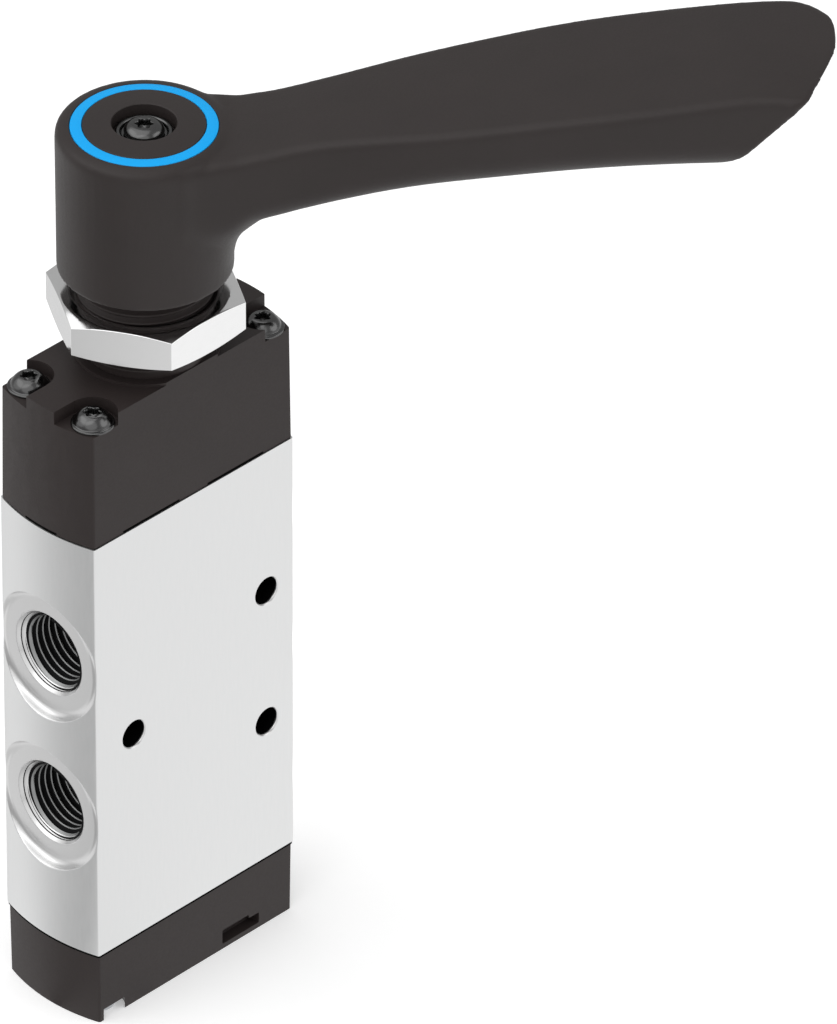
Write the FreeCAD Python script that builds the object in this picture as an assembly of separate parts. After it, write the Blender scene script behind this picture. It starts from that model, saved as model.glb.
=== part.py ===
import FreeCAD, Part
import math
import os
from FreeCAD import Vector

os.makedirs("parts", exist_ok=True)

# A hand lever spool valve with two positions and five ports. Millimetres, +Z up.
# The origin is the centre of the base cap's flat underside, on the valve's axis.
# X runs along the wide faces, Y across them. The lever rests between +X and -Y.

# Valve body
body_length = 44.0
body_width = 21.24
body_height = 79.8
narrow_face_bulge = 1.7
body_edge_radius = 0.35
spool_bore_radius = 8.5
half_length = body_length / 2
half_width = body_width / 2

# The stack in the bore: five chambers, a seal on each side of every chamber, a bush at each end
end_bush_length = 5.9
seal_width = 3.0
chamber_count = 5
chamber_pitch = (body_height - 2 * end_bush_length - seal_width) / chamber_count

# Ports, G1/4: the bore is at the thread's major diameter
port_radius = 6.58
port_mouth_radius = 7.1
port_end_wall = 2.5
port_depth = half_length - spool_bore_radius - port_end_wall
port_drill_cone = 2.4
port_passage_radius = 4.3
spot_face_radius = 11.0
spot_face_rim_radius = 11.95
rear_port_spacing = 2 * chamber_pitch
front_port_offset = 3.34
front_port_spacing = rear_port_spacing + front_port_offset

# Cross holes that fix the valve, for M4
mount_hole_radius = 2.4
mount_hole_chamfer = 0.2
mount_pair_x = half_length - 5.95
mount_pair_spacing = 25.8
mount_single_x = 8.33 - half_length

# Base cap and its gasket
base_height = 13.4
base_inset = 0.24
mould_draft = 0.5
cap_edge_radius = 0.5
base_gasket_thickness = 0.3
gasket_inset = 0.5
base_cavity_radius = 6.5
base_cavity_depth = 3.7
stop_pad_radius = 5.6
stop_pad_thickness = 2.1
base_slot_length = 8.3
base_slot_start = half_length - 7.6 - base_slot_length
base_slot_bottom = 1.0
base_slot_height = 2.75
base_slot_step_length = 2.3
base_slot_step = 0.7
base_slot_depth = 2.4
base_slot_radius = 0.3

# Top housing
housing_height = 23.4
housing_inset = 0.165
housing_roof = 3.0
cavity_radius = 8.55
cavity_half_width = 7.9
cavity_reach = half_length - 7.0
cavity_corner_radius = 2.0
top_gasket_thickness = 0.4
top_gasket_inset = 0.9
top_gasket_gap = 0.05
edge_gap_height = 0.5
edge_gap_depth = 0.9
wide_gap_inner = 3.1
wide_gap_outer = half_length - 6.5
narrow_gap_half_width = 3.5
corner_pocket_radius = 4.0
corner_pocket_depth = 2.3
corner_pocket_wall_y = 3.1

# Collar and neck: the neck is modelled at its thread's root, M22 x 1.5
collar_radius = 11.7
collar_height = 0.5
neck_radius = 10.1
neck_height = 17.3
neck_chamfer = 0.8
neck_bore_radius = 7.0
neck_bore_shoulder = 0.8

# Corner screws, M3
screw_x = half_length - 3.3
screw_y = half_width - 3.47
screw_shank_radius = 1.45
screw_hole_radius = 1.5
screw_clearance_radius = 1.65
screw_flange_radius = 3.5
screw_flange_height = 0.55
screw_dome_radius = 3.1
screw_head_height = 2.2
screw_crown_radius = 1.75
screw_recess_radius = 1.3
screw_recess_depth = 1.2
housing_screw_length = 28.0
base_screw_length = 18.0
base_screw_x = half_length - 3.6
base_screw_head_radius = 2.5
base_screw_head_height = 1.9
base_screw_crown_radius = 1.75
base_counterbore_radius = 2.7
base_counterbore_depth = 2.2
wide_counterbore_radius = 3.9
tapped_depth_spare = 1.5

# Panel nut
nut_across_flats = 28.25
nut_height = 6.5
nut_chamfer_height = 0.7
nut_face_radius = 13.95
nut_mouth_radius = 11.1
nut_mouth_chamfer = 0.9
nut_running_gap = 0.07
nut_height_on_neck = 4.9

# Lever
lever_rest_angle = -45.0
hub_radius = 13.95
hub_top_radius = 14.0
hub_height = 25.4
hub_top_round = 1.6
hub_crown = 0.9
hub_bottom_round = 0.5
hub_over_neck = 1.4
hub_skirt_radius = 11.7
hub_skirt_clearance = 2.0
hub_screw_hole_radius = 2.2
head_pocket_radius = 5.15
head_pocket_depth = 1.9
accent_inner_radius = 9.7
accent_outer_radius = 11.7
accent_depth = 1.0
arm_top_corner_radius = 1.3
arm_crown = 0.35
arm_tip_reach = 107.35
arm_tip_half_breadth = 14.6
arm_tip_end_radius = 36.0
arm_tip_centre_y = 3.8
arm_tip_far_radius = 8.0
arm_tip_near_radius = 3.0
arm_bevel_reach = 106.75
arm_bevel_skew = 16.7
arm_bevel_angle = 47.5
arm_bevel_round = 10.0
arm_tip_rim = 1.0

# Lever screw, M4 button head, and its washer
lever_screw_radius = 1.95
lever_screw_length = 12.0
lever_screw_head_radius = 3.25
lever_screw_head_height = 1.85
lever_screw_crown_radius = 1.85
lever_screw_recess_radius = 1.45
lever_screw_recess_depth = 1.2
lever_washer_radius = 4.6
lever_washer_lip_radius = 3.7
lever_washer_hole_radius = 2.15
lever_washer_thickness = 0.6
lever_washer_lip_height = 1.25

# Drive shaft with its cam slots
journal_radius = 4.98
journal_running_gap = 0.05
square_across_flats = 8.0
square_play = 0.05
square_length = 15.3
shaft_tapped_radius = 2.0
cam_sleeve_radius = 6.9
cam_bore_radius = 4.25
cam_wall_above = 0.95
cam_slot_clearance = 0.3
cam_turn = 90.0
spool_stroke = 4.0
detent_across_flats = 12.6
detent_corner_radius = 7.0
detent_block_height = 2.05
thrust_washer_thickness = 0.85
thrust_washer_outer = 7.6
thrust_washer_bore_gap = 0.25
axial_play = 0.1

# Retaining ring and shaft seal
retaining_ring_radius = 7.2
retaining_ring_inner = 4.55
retaining_ring_thickness = 0.8
retaining_ring_lift = 0.3
retaining_ring_opening = 3.2
shaft_seal_height = 2.0
shaft_seal_lip = 0.8
shaft_seal_drop = 1.7
bush_top_drop = 2.9

# Pin guide
guide_outer_radius = 8.4
guide_inner_radius = 7.15
guide_floor_thickness = 1.5
guide_floor_bore = 4.4
guide_fit_gap = 0.15
guide_slot_width = 3.3
drive_pin_radius = 1.5
drive_pin_length = 16.4
pin_height_over_body = 11.7

# Detent spring
detent_strip_thickness = 0.5
detent_strip_height = 1.7
detent_strip_gap = 0.05
detent_arm_reach = 6.5

# Spool, seals and spacer cages
spool_land_radius = 5.2
spool_waist_radius = 3.6
spool_stem_radius = 4.0
spool_edge_chamfer = 0.5
spool_end_height = 3.0
spool_top_drop = 0.8
spool_stem_above_pin = 3.5
seal_running_gap = 0.05
seal_nose_radius = 6.7
seal_lip_half_width = 0.5
seat_gap = 0.05
cage_inner_radius = 5.8
cage_channel_radius = 7.5
cage_channel_width = 6.0
cage_window_width = 3.2
cage_window_height = 4.6
cage_window_count = 6
end_bush_bore_gap = 0.1

# Heights that follow from the sizes above
z_body = base_height + base_gasket_thickness
z_body_top = z_body + body_height
z_mid = z_body + body_height / 2
z_housing_top = z_body_top + housing_height
z_collar_top = z_housing_top + collar_height
z_neck_top = z_housing_top + neck_height
z_pocket = z_housing_top - corner_pocket_depth
z_roof = z_housing_top - housing_roof
z_neck_bore = z_housing_top + neck_bore_shoulder
z_nut = z_collar_top + nut_height_on_neck
z_hub = z_neck_top - hub_over_neck
z_hub_top = z_hub + hub_height
z_hub_seat = z_neck_top + hub_skirt_clearance
z_head_pocket = z_hub_top - head_pocket_depth
z_square_top = z_hub_seat + square_length
z_pin = z_body_top + pin_height_over_body
z_thrust_washer = z_roof - thrust_washer_thickness - axial_play / 2
z_detent_top = z_thrust_washer - axial_play
z_detent = z_detent_top - detent_block_height
z_deck = z_detent - axial_play
z_ring = z_neck_top + retaining_ring_lift

corners = [(sx * screw_x, sy * screw_y) for sx in (-1, 1) for sy in (-1, 1)]
base_corners = [(sx * base_screw_x, sy * screw_y) for sx in (-1, 1) for sy in (-1, 1)]
z_first_seal = z_body + end_bush_length + seal_width / 2
seal_heights = [z_first_seal + step * chamber_pitch for step in range(chamber_count + 1)]
chambers = [z + chamber_pitch / 2 for z in seal_heights[:-1]]
pin_travel = (z_pin - spool_stroke, z_pin)
overcut = 1.0


def cylinder(radius, z_low, z_high, x=0.0, y=0.0):
    return Part.makeCylinder(radius, z_high - z_low, Vector(x, y, z_low))


def ring(inner, outer, z_low, z_high, x=0.0, y=0.0):
    return cylinder(outer, z_low, z_high, x, y).cut(cylinder(inner, z_low, z_high, x, y))


def box(x_low, x_high, y_low, y_high, z_low, z_high):
    size = (x_high - x_low, y_high - y_low, z_high - z_low)
    return Part.makeBox(*size, Vector(x_low, y_low, z_low))


def turned(profile, z=0.0, x=0.0, y=0.0):
    # A solid of revolution about a vertical axis, from (radius, height) points.
    points = [Vector(r, 0, h) for r, h in profile]
    face = Part.Face(Part.makePolygon(points + points[:1]))
    solid = face.revolve(Vector(0, 0, 0), Vector(0, 0, 1), 360)
    solid.translate(Vector(x, y, z))
    return solid


def plan_outline(inset, z):
    # The valve's outline in plan: straight wide sides, bowed narrow ends.
    x = half_length - inset
    y = half_width - inset
    bow = x + narrow_face_bulge
    right = Part.Arc(Vector(x, -y, z), Vector(bow, 0, z), Vector(x, y, z))
    left = Part.Arc(Vector(-x, y, z), Vector(-bow, 0, z), Vector(-x, -y, z))
    near = Part.makeLine(Vector(-x, -y, z), Vector(x, -y, z))
    far = Part.makeLine(Vector(x, y, z), Vector(-x, y, z))
    return Part.Wire([near, right.toShape(), far, left.toShape()])


def uprights(shape):
    half_height = (shape.BoundBox.ZMax - shape.BoundBox.ZMin) / 2
    return [edge for edge in shape.Edges if abs(edge.Vertexes[0].Z - edge.Vertexes[-1].Z) > half_height]


def plan_block(inset_low, z_low, inset_high, z_high, edge_radius):
    # A block of that outline, drafted from one inset to the other, with rounded uprights.
    wires = [plan_outline(inset_low, z_low), plan_outline(inset_high, z_high)]
    block = Part.makeLoft(wires, True, True)
    return block.makeFillet(edge_radius, uprights(block))


def draft_inset(height):
    return height * math.tan(math.radians(mould_draft))


def rounded_bar(x_low, x_high, y_half, z_low, z_high, radius):
    bar = box(x_low, x_high, -y_half, y_half, z_low, z_high)
    return bar.makeFillet(radius, uprights(bar))


def port_cutter(side, z):
    # Spot face, mouth chamfer, threaded bore and passage, revolved about the port's axis.
    floor = half_length
    thread_end = floor - port_depth
    outside = floor + narrow_face_bulge + overcut
    rim_slope = (spot_face_rim_radius - spot_face_radius) / narrow_face_bulge
    rim = spot_face_radius + rim_slope * (outside - floor)
    profile = [(0, spool_bore_radius - overcut), (port_passage_radius, spool_bore_radius - overcut),
               (port_passage_radius, thread_end - port_drill_cone), (port_radius, thread_end),
               (port_radius, floor - (port_mouth_radius - port_radius)), (port_mouth_radius, floor),
               (spot_face_radius, floor), (rim, outside), (0, outside)]
    cutter = turned(profile)
    cutter.rotate(Vector(0, 0, 0), Vector(0, 1, 0), 90 * side)
    cutter.translate(Vector(0, 0, z))
    return cutter


def cross_hole(x, z):
    reach = half_width + overcut
    mouth = mount_hole_radius + mount_hole_chamfer + overcut
    profile = [(0, -reach), (mouth, -reach), (mount_hole_radius, mount_hole_chamfer - half_width),
               (mount_hole_radius, half_width - mount_hole_chamfer), (mouth, reach), (0, reach)]
    hole = turned(profile)
    hole.rotate(Vector(0, 0, 0), Vector(1, 0, 0), 90)
    hole.translate(Vector(x, 0, z))
    return hole


def make_valve_body():
    body = plan_block(0, z_body, 0, z_body_top, body_edge_radius)
    cutters = [cylinder(spool_bore_radius, z_body, z_body_top)]
    for step in (-0.5, 0.5):
        cutters.append(port_cutter(-1, z_mid + step * front_port_spacing))
        cutters.append(cross_hole(mount_pair_x, z_mid + step * mount_pair_spacing))
    for step in (-1, 0, 1):
        cutters.append(port_cutter(1, z_mid + step * rear_port_spacing))
    cutters.append(cross_hole(mount_single_x, z_mid))
    top_depth = housing_screw_length - (z_pocket - z_body_top) + tapped_depth_spare
    low_depth = base_screw_length - (z_body - base_counterbore_depth) + tapped_depth_spare
    for x, y in corners:
        cutters.append(cylinder(screw_hole_radius, z_body_top - top_depth, z_body_top, x, y))
    for x, y in base_corners:
        cutters.append(cylinder(screw_hole_radius, z_body, z_body + low_depth, x, y))
    return body.cut(cutters)


def corner_pocket(x, y):
    side_x = math.copysign(1, x)
    side_y = math.copysign(1, y)
    reach_x = half_length + narrow_face_bulge + overcut
    reach_y = half_width + overcut
    z_high = z_housing_top + overcut
    xs = sorted((x, side_x * reach_x))
    ys = sorted((side_y * corner_pocket_wall_y, side_y * reach_y))
    return cylinder(corner_pocket_radius, z_pocket, z_high, x, y).fuse(box(*xs, *ys, z_pocket, z_high))


def housing_cavity(z_low, z_high, gap=0.0):
    # The room for the guide and the spring: round about the shaft, long towards +X.
    barrel = cylinder(cavity_radius - gap, z_low, z_high)
    radius = cavity_corner_radius
    bar = rounded_bar(gap - cavity_radius, cavity_reach - gap, cavity_half_width - gap, z_low, z_high, radius)
    return barrel.fuse(bar)


def top_gasket_shape(z_low, z_high):
    plate = plan_block(top_gasket_inset, z_low, top_gasket_inset, z_high, cap_edge_radius)
    room = housing_cavity(z_low, z_high, -top_gasket_gap)
    holes = [cylinder(screw_clearance_radius, z_low, z_high, x, y) for x, y in corners]
    return plate.cut([room] + holes)


def edge_gaps():
    # Shallow mould gaps along the housing's bottom edge, two on each wide face, one on each end.
    z_high = z_body_top + edge_gap_height
    y_in = half_width - edge_gap_depth
    y_out = half_width + overcut
    x_in = half_length + narrow_face_bulge - edge_gap_depth - edge_gap_height
    x_out = half_length + narrow_face_bulge + overcut
    gaps = []
    for side in (-1, 1):
        ys = sorted((side * y_in, side * y_out))
        gaps.append(box(wide_gap_inner, wide_gap_outer, *ys, z_body_top, z_high))
        gaps.append(box(-wide_gap_outer, -wide_gap_inner, *ys, z_body_top, z_high))
        xs = sorted((side * x_in, side * x_out))
        gaps.append(box(*xs, -narrow_gap_half_width, narrow_gap_half_width, z_body_top, z_high))
    return gaps


def make_top_housing():
    top_inset = housing_inset + draft_inset(housing_height)
    shell = plan_block(housing_inset, z_body_top, top_inset, z_housing_top, cap_edge_radius)
    collar_inset = housing_inset + draft_inset(z_collar_top - z_body_top)
    collar = plan_block(housing_inset, z_body_top, collar_inset, z_collar_top, cap_edge_radius)
    collar = collar.common(cylinder(collar_radius, z_roof, z_collar_top))
    neck = [(0, z_roof), (neck_radius, z_roof), (neck_radius, z_neck_top - neck_chamfer),
            (neck_radius - neck_chamfer, z_neck_top), (0, z_neck_top)]
    shell = shell.fuse([collar, turned(neck)])
    cutters = [housing_cavity(z_body_top, z_roof)]
    cutters.append(cylinder(journal_radius + thrust_washer_bore_gap, z_roof, z_neck_bore))
    cutters.append(cylinder(neck_bore_radius, z_neck_bore, z_neck_top))
    cutters.append(top_gasket_shape(z_body_top, z_body_top + top_gasket_thickness))
    for x, y in corners:
        cutters.append(corner_pocket(x, y))
        cutters.append(cylinder(screw_clearance_radius, z_body_top, z_pocket, x, y))
    return shell.cut(cutters + edge_gaps()).removeSplitter()


def make_base_cap():
    low_inset = base_inset + draft_inset(base_height)
    cap = plan_block(low_inset, 0, base_inset, base_height, cap_edge_radius)
    cutters = [cylinder(base_cavity_radius, base_height - base_cavity_depth, base_height)]
    # The first counterbore is the wide one, which breaks out through the wide face.
    radii = [wide_counterbore_radius] + 3 * [base_counterbore_radius]
    for (x, y), radius in zip(base_corners, radii):
        cutters.append(cylinder(radius, 0, base_counterbore_depth, x, y))
        cutters.append(cylinder(screw_clearance_radius, 0, base_height, x, y))
    y_in = base_slot_depth - half_width
    slot_end = base_slot_start + base_slot_length
    step_start = slot_end - base_slot_step_length
    slot_top = base_slot_bottom + base_slot_height
    y_out = -half_width - overcut
    tall = box(base_slot_start, step_start, y_out, y_in, base_slot_bottom, slot_top)
    low = box(step_start, slot_end, y_out, y_in, base_slot_bottom, slot_top - base_slot_step)
    slot = tall.fuse(low).removeSplitter()
    along = [edge for edge in slot.Edges if abs(edge.Vertexes[0].Y - edge.Vertexes[-1].Y) > overcut]
    cutters.append(slot.makeFillet(base_slot_radius, along))
    return cap.cut(cutters)


def make_base_gasket():
    plate = plan_block(gasket_inset, base_height, gasket_inset, z_body, cap_edge_radius)
    cutters = [cylinder(base_cavity_radius, base_height, z_body)]
    cutters += [cylinder(screw_clearance_radius, base_height, z_body, x, y) for x, y in base_corners]
    return plate.cut(cutters)


def pan_screw(x, y):
    # A flanged pan head, a straight shank and a round stand for the recess.
    crown = screw_head_height
    shoulder = crown - (screw_dome_radius - screw_crown_radius) * 0.6
    floor = crown - screw_recess_depth
    profile = [(0, -housing_screw_length), (screw_shank_radius, -housing_screw_length),
               (screw_shank_radius, 0), (screw_flange_radius, 0), (screw_flange_radius, screw_flange_height / 2),
               (screw_dome_radius, screw_flange_height), (screw_dome_radius, shoulder),
               (screw_crown_radius, crown), (screw_recess_radius, crown), (screw_recess_radius, floor), (0, floor)]
    return turned(profile, z_pocket, x, y)


def base_screw(x, y):
    head = base_screw_head_height
    floor = screw_recess_depth - head
    profile = [(0, floor), (screw_recess_radius, floor), (screw_recess_radius, -head),
               (base_screw_crown_radius, -head), (base_screw_head_radius, -head / 2),
               (base_screw_head_radius, 0),
               (screw_shank_radius, 0), (screw_shank_radius, base_screw_length), (0, base_screw_length)]
    return turned(profile, base_counterbore_depth, x, y)


def make_panel_nut():
    corner = nut_across_flats / 2 / math.cos(math.radians(30))
    points = [Vector(corner * math.cos(math.radians(60 * i)), corner * math.sin(math.radians(60 * i)), z_nut)
              for i in range(6)]
    hexagon = Part.Face(Part.makePolygon(points + points[:1])).extrude(Vector(0, 0, nut_height))
    bore = neck_radius + nut_running_gap
    low = nut_mouth_chamfer
    high = nut_height - nut_mouth_chamfer
    turned_blank = turned([(bore, low), (nut_mouth_radius, 0), (nut_face_radius, 0), (corner, nut_chamfer_height),
                           (corner, nut_height - nut_chamfer_height), (nut_face_radius, nut_height),
                           (nut_mouth_radius, nut_height), (bore, high)], z_nut)
    return hexagon.common(turned_blank)


def arm_section(reach, half_breadth, z_top, z_low, low_radius):
    # A cross-section of the arm: crowned top, small top corners, large lower corners.
    top = z_hub_top + z_top
    low = z_hub_top + z_low
    r = arm_top_corner_radius
    cut = 1 - math.sqrt(0.5)

    def at(y, z):
        return Vector(reach, y, z)

    def corner(side):
        b = side * half_breadth
        small = Part.Arc(at(b, top - r), at(b - side * r * cut, top - r * cut), at(b - side * r, top))
        big = Part.Arc(at(b - side * low_radius, low), at(b - side * low_radius * cut, low + low_radius * cut),
                       at(b, low + low_radius))
        return big.toShape(), Part.makeLine(at(b, low + low_radius), at(b, top - r)), small.toShape()

    crown = Part.Arc(at(half_breadth - r, top), at(0, top + arm_crown), at(r - half_breadth, top)).toShape()
    floor = Part.makeLine(at(low_radius - half_breadth, low), at(half_breadth - low_radius, low))
    right = list(corner(1))
    left = [edge for edge in reversed(corner(-1))]
    return Part.Wire(Part.__sortEdges__(right + [crown] + left + [floor]))


# The arm's run: reach from the hub's axis, half breadth, top and underside over the hub's top,
# and the lower corners' radius. It flows out of the hub's side, rises, and spreads into a paddle.
arm_stations = [
    (6.0, 12.95, -1.0, -20.3, 9.0),
    (8.0, 11.75, -0.85, -19.7, 8.2),
    (10.0, 11.05, -0.6, -19.0, 7.4),
    (12.0, 10.65, -0.4, -18.1, 6.5),
    (14.0, 10.25, -0.3, -16.6, 5.4),
    (16.5, 9.95, 0.2, -13.8, 4.6),
    (19.5, 9.75, 0.85, -12.65, 4.2),
    (24.0, 9.7, 2.05, -11.1, 4.0),
    (31.0, 10.45, 3.65, -8.65, 4.2),
    (41.0, 12.2, 5.6, -5.4, 4.6),
    (54.0, 13.8, 8.05, -2.65, 4.9),
    (61.0, 14.35, 9.4, -1.5, 5.0),
    (68.0, 14.75, 10.6, -0.5, 5.0),
    (84.0, 14.85, 12.95, 0.6, 5.0),
    (98.0, 14.65, 14.35, 0.9, 5.0),
    (112.0, 14.3, 15.2, 1.2, 5.0),
]


def tip_corner(side, radius):
    # The arc that rounds a corner of the tip in plan, tangent to the arm's side and to its bowed end.
    centre_x = arm_tip_reach - arm_tip_end_radius
    y = side * (arm_tip_half_breadth - radius)
    rise = y - arm_tip_centre_y
    run = math.sqrt((arm_tip_end_radius - radius) ** 2 - rise ** 2)
    corner = Vector(centre_x + run, y, 0)
    on_side = corner + Vector(0, side * radius, 0)
    outward = Vector(run, rise, 0).normalize()
    on_end = corner + outward * radius
    middle = corner + (outward + Vector(0, side, 0)).normalize() * radius
    return on_side, Part.Arc(on_side, middle, on_end).toShape(), on_end


def arm_tip_outline():
    # What lies inside the arm's end in plan, as an upright prism. The end's arc is centred off the
    # arm's axis, which skews the tip, and its far corner is the rounder one.
    room = 2 * arm_tip_half_breadth
    far_side, far_arc, far_end = tip_corner(1, arm_tip_far_radius)
    near_side, near_arc, near_end = tip_corner(-1, arm_tip_near_radius)
    centre_x = arm_tip_reach - arm_tip_end_radius
    halfway = (far_end + near_end) / 2 - Vector(centre_x, arm_tip_centre_y, 0)
    crest = Vector(centre_x, arm_tip_centre_y, 0) + halfway.normalize() * arm_tip_end_radius
    back = Part.makePolygon([far_side, Vector(far_side.x, room, 0), Vector(0, room, 0), Vector(0, -room, 0),
                             Vector(near_side.x, -room, 0), near_side])
    edges = back.Edges + [near_arc, Part.Arc(near_end, crest, far_end).toShape(), far_arc]
    return Part.Face(Part.Wire(Part.__sortEdges__(edges))).extrude(Vector(0, 0, 2 * z_hub_top))


def arm_bevel():
    # The wedge taken off under the tip, with a round run-in from the underside.
    z_rim = z_hub_top + arm_stations[-1][2] - arm_tip_rim
    angle = math.radians(arm_bevel_angle)
    z_floor = z_hub_top + arm_stations[-2][3]
    run = (z_rim - z_floor) / math.tan(angle)
    start = arm_bevel_reach - run
    tangent = arm_bevel_round * math.tan(angle / 2)
    first = Vector(start - tangent, 0, z_floor)
    last = Vector(start + tangent * math.cos(angle), 0, z_floor + tangent * math.sin(angle))
    half = angle / 2
    middle = Vector(first.x + arm_bevel_round * math.sin(half), 0,
                    z_floor + arm_bevel_round * (1 - math.cos(half)))
    far = Vector(arm_bevel_reach + hub_height, 0, z_rim + hub_height * math.tan(angle))
    below = [Vector(far.x, 0, z_floor - hub_height), Vector(first.x, 0, z_floor - hub_height)]
    edges = [Part.Arc(first, middle, last).toShape(), Part.makeLine(last, far), Part.makeLine(far, below[0]),
             Part.makeLine(below[0], below[1]), Part.makeLine(below[1], first)]
    reach = 2 * arm_stations[-1][1]
    wedge = Part.Face(Part.Wire(edges)).extrude(Vector(0, 2 * reach, 0))
    wedge.translate(Vector(0, -reach, 0))
    wedge.rotate(Vector(start, 0, 0), Vector(0, 0, 1), -arm_bevel_skew)
    return wedge


def make_arm():
    arm = Part.makeLoft([arm_section(*station) for station in arm_stations], True, False)
    arm = arm.common(arm_tip_outline())
    return arm.cut(arm_bevel())


def square_prism(across_flats, corner_radius, z_low, z_high):
    half = across_flats / 2
    return box(-half, half, -half, half, z_low, z_high).common(cylinder(corner_radius, z_low, z_high))


def turn_to_rest(shape):
    shape.rotate(Vector(0, 0, 0), Vector(0, 0, 1), lever_rest_angle)
    return shape


def crown_height(radius):
    # How far the hub's domed top stands over its rim, at a radius.
    return hub_crown * (1 - (radius / hub_top_radius) ** 2)


def make_hub():
    # A drum with a slightly domed top, revolved, and rounded at both rims.
    top = z_hub_top
    halfway = hub_top_radius / 2
    foot, wall, rim = Vector(0, 0, z_hub), Vector(hub_radius, 0, z_hub), Vector(hub_top_radius, 0, top)
    peak = Vector(0, 0, top + hub_crown)
    dome = Part.Arc(rim, Vector(halfway, 0, top + crown_height(halfway)), peak).toShape()
    edges = [Part.makeLine(foot, wall), Part.makeLine(wall, rim), dome, Part.makeLine(peak, foot)]
    drum = Part.Face(Part.Wire(edges)).revolve(Vector(0, 0, 0), Vector(0, 0, 1), 360)
    rims = [edge for edge in drum.Edges if edge.BoundBox.ZLength < hub_bottom_round
            and edge.Length > math.pi * hub_radius]
    upper = [edge for edge in rims if edge.Vertexes[0].Z > top - overcut / 2]
    lower = [edge for edge in rims if edge.Vertexes[0].Z < z_hub + overcut / 2]
    return drum.makeFillet(hub_top_round, upper).makeFillet(hub_bottom_round, lower)


def make_lever():
    lever = make_hub().fuse(make_arm())
    socket = square_across_flats + 2 * square_play
    cutters = [cylinder(hub_skirt_radius, z_hub - overcut, z_hub_seat)]
    cutters.append(square_prism(socket, journal_radius + square_play, z_hub_seat, z_square_top + square_play))
    cutters.append(cylinder(hub_screw_hole_radius, z_square_top, z_head_pocket))
    cutters.append(cylinder(head_pocket_radius, z_head_pocket, z_hub_top + overcut))
    cutters.append(ring(accent_inner_radius, accent_outer_radius, z_hub_top - accent_depth, z_hub_top + overcut))
    return turn_to_rest(lever.cut(cutters))


def make_accent_ring():
    # Its top follows the hub's dome.
    floor = z_hub_top - accent_depth
    inner = accent_inner_radius
    outer = accent_outer_radius
    return turned([(inner, floor), (outer, floor), (outer, z_hub_top + crown_height(outer)),
                   (inner, z_hub_top + crown_height(inner))])


def make_lever_screw():
    z_seat = z_head_pocket + lever_washer_thickness
    crown = lever_screw_head_height
    r = lever_screw_head_radius
    profile = [(0, -lever_screw_length), (lever_screw_radius, -lever_screw_length), (lever_screw_radius, 0),
               (r, 0), (r, crown / 3), (0.92 * r, crown * 0.6), (0.78 * r, crown * 0.83),
               (lever_screw_crown_radius, crown), (lever_screw_recess_radius, crown),
               (lever_screw_recess_radius, crown - lever_screw_recess_depth),
               (0, crown - lever_screw_recess_depth)]
    return turned(profile, z_seat)


def make_lever_washer():
    # A cup washer: its lip stands up round the screw's head.
    t = lever_washer_thickness
    lip = lever_washer_lip_height
    return turned([(lever_washer_hole_radius, 0), (lever_washer_radius, 0), (lever_washer_radius, lip),
                   (lever_washer_lip_radius, lip), (lever_washer_lip_radius, t), (lever_washer_hole_radius, t)],
                  z_head_pocket)


def cam_slot():
    # The helical slot for the drive pin: a quarter turn that falls by the spool's stroke.
    radius = (cam_sleeve_radius + cam_bore_radius) / 2
    pitch = spool_stroke * 360 / cam_turn
    steepest = math.atan(spool_stroke / (math.radians(cam_turn) * cam_bore_radius))
    pin_room = drive_pin_radius + cam_slot_clearance
    half = pin_room / math.cos(steepest)
    inner = cam_bore_radius - overcut
    outer = cam_sleeve_radius + overcut
    helix = Part.makeHelix(pitch, spool_stroke, radius, 0, True)
    corner_points = [Vector(inner, 0, -half), Vector(outer, 0, -half), Vector(outer, 0, half),
                     Vector(inner, 0, half)]
    section = Part.makePolygon(corner_points + corner_points[:1])
    slot = Part.Wire(helix.Edges).makePipeShell([section], True, True)
    for angle, drop in ((0, 0), (-cam_turn, spool_stroke)):
        end = Part.makeCylinder(half, outer - inner, Vector(inner, 0, drop), Vector(1, 0, 0))
        end.rotate(Vector(0, 0, 0), Vector(0, 0, 1), angle)
        slot = slot.fuse(end)
    return slot


def make_drive_shaft():
    z_cam_low = z_body_top + guide_floor_thickness + axial_play * 5
    sleeve = cylinder(cam_sleeve_radius, z_cam_low, z_detent)
    detent = square_prism(detent_across_flats, detent_corner_radius, z_detent, z_detent_top)
    journal = cylinder(journal_radius, z_detent_top, z_hub_seat)
    square = turn_to_rest(square_prism(square_across_flats, journal_radius, z_hub_seat, z_square_top))
    shaft = sleeve.fuse([detent, journal, square])
    z_thread_end = z_head_pocket + lever_washer_thickness - lever_screw_length - tapped_depth_spare
    cutters = [cylinder(cam_bore_radius, z_cam_low, z_detent - cam_wall_above)]
    cutters.append(cylinder(shaft_tapped_radius, z_thread_end, z_square_top))
    cutters.append(ring(retaining_ring_inner, journal_radius + overcut, z_ring, z_ring + retaining_ring_thickness))
    for side in (0, 180):
        slot = cam_slot()
        slot.translate(Vector(0, 0, z_pin - spool_stroke))
        slot.rotate(Vector(0, 0, 0), Vector(0, 0, 1), side + cam_turn)
        cutters.append(slot)
    return shaft.cut(cutters)


def make_retaining_ring():
    z_high = z_ring + retaining_ring_thickness
    whole = ring(retaining_ring_inner, retaining_ring_radius, z_ring, z_high)
    half = retaining_ring_opening / 2
    return whole.cut(box(0, retaining_ring_radius + overcut, -half, half, z_ring, z_high))


def make_shaft_bush():
    inner = journal_radius + journal_running_gap
    return ring(inner, neck_bore_radius, z_neck_bore, z_neck_top - bush_top_drop)


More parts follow.
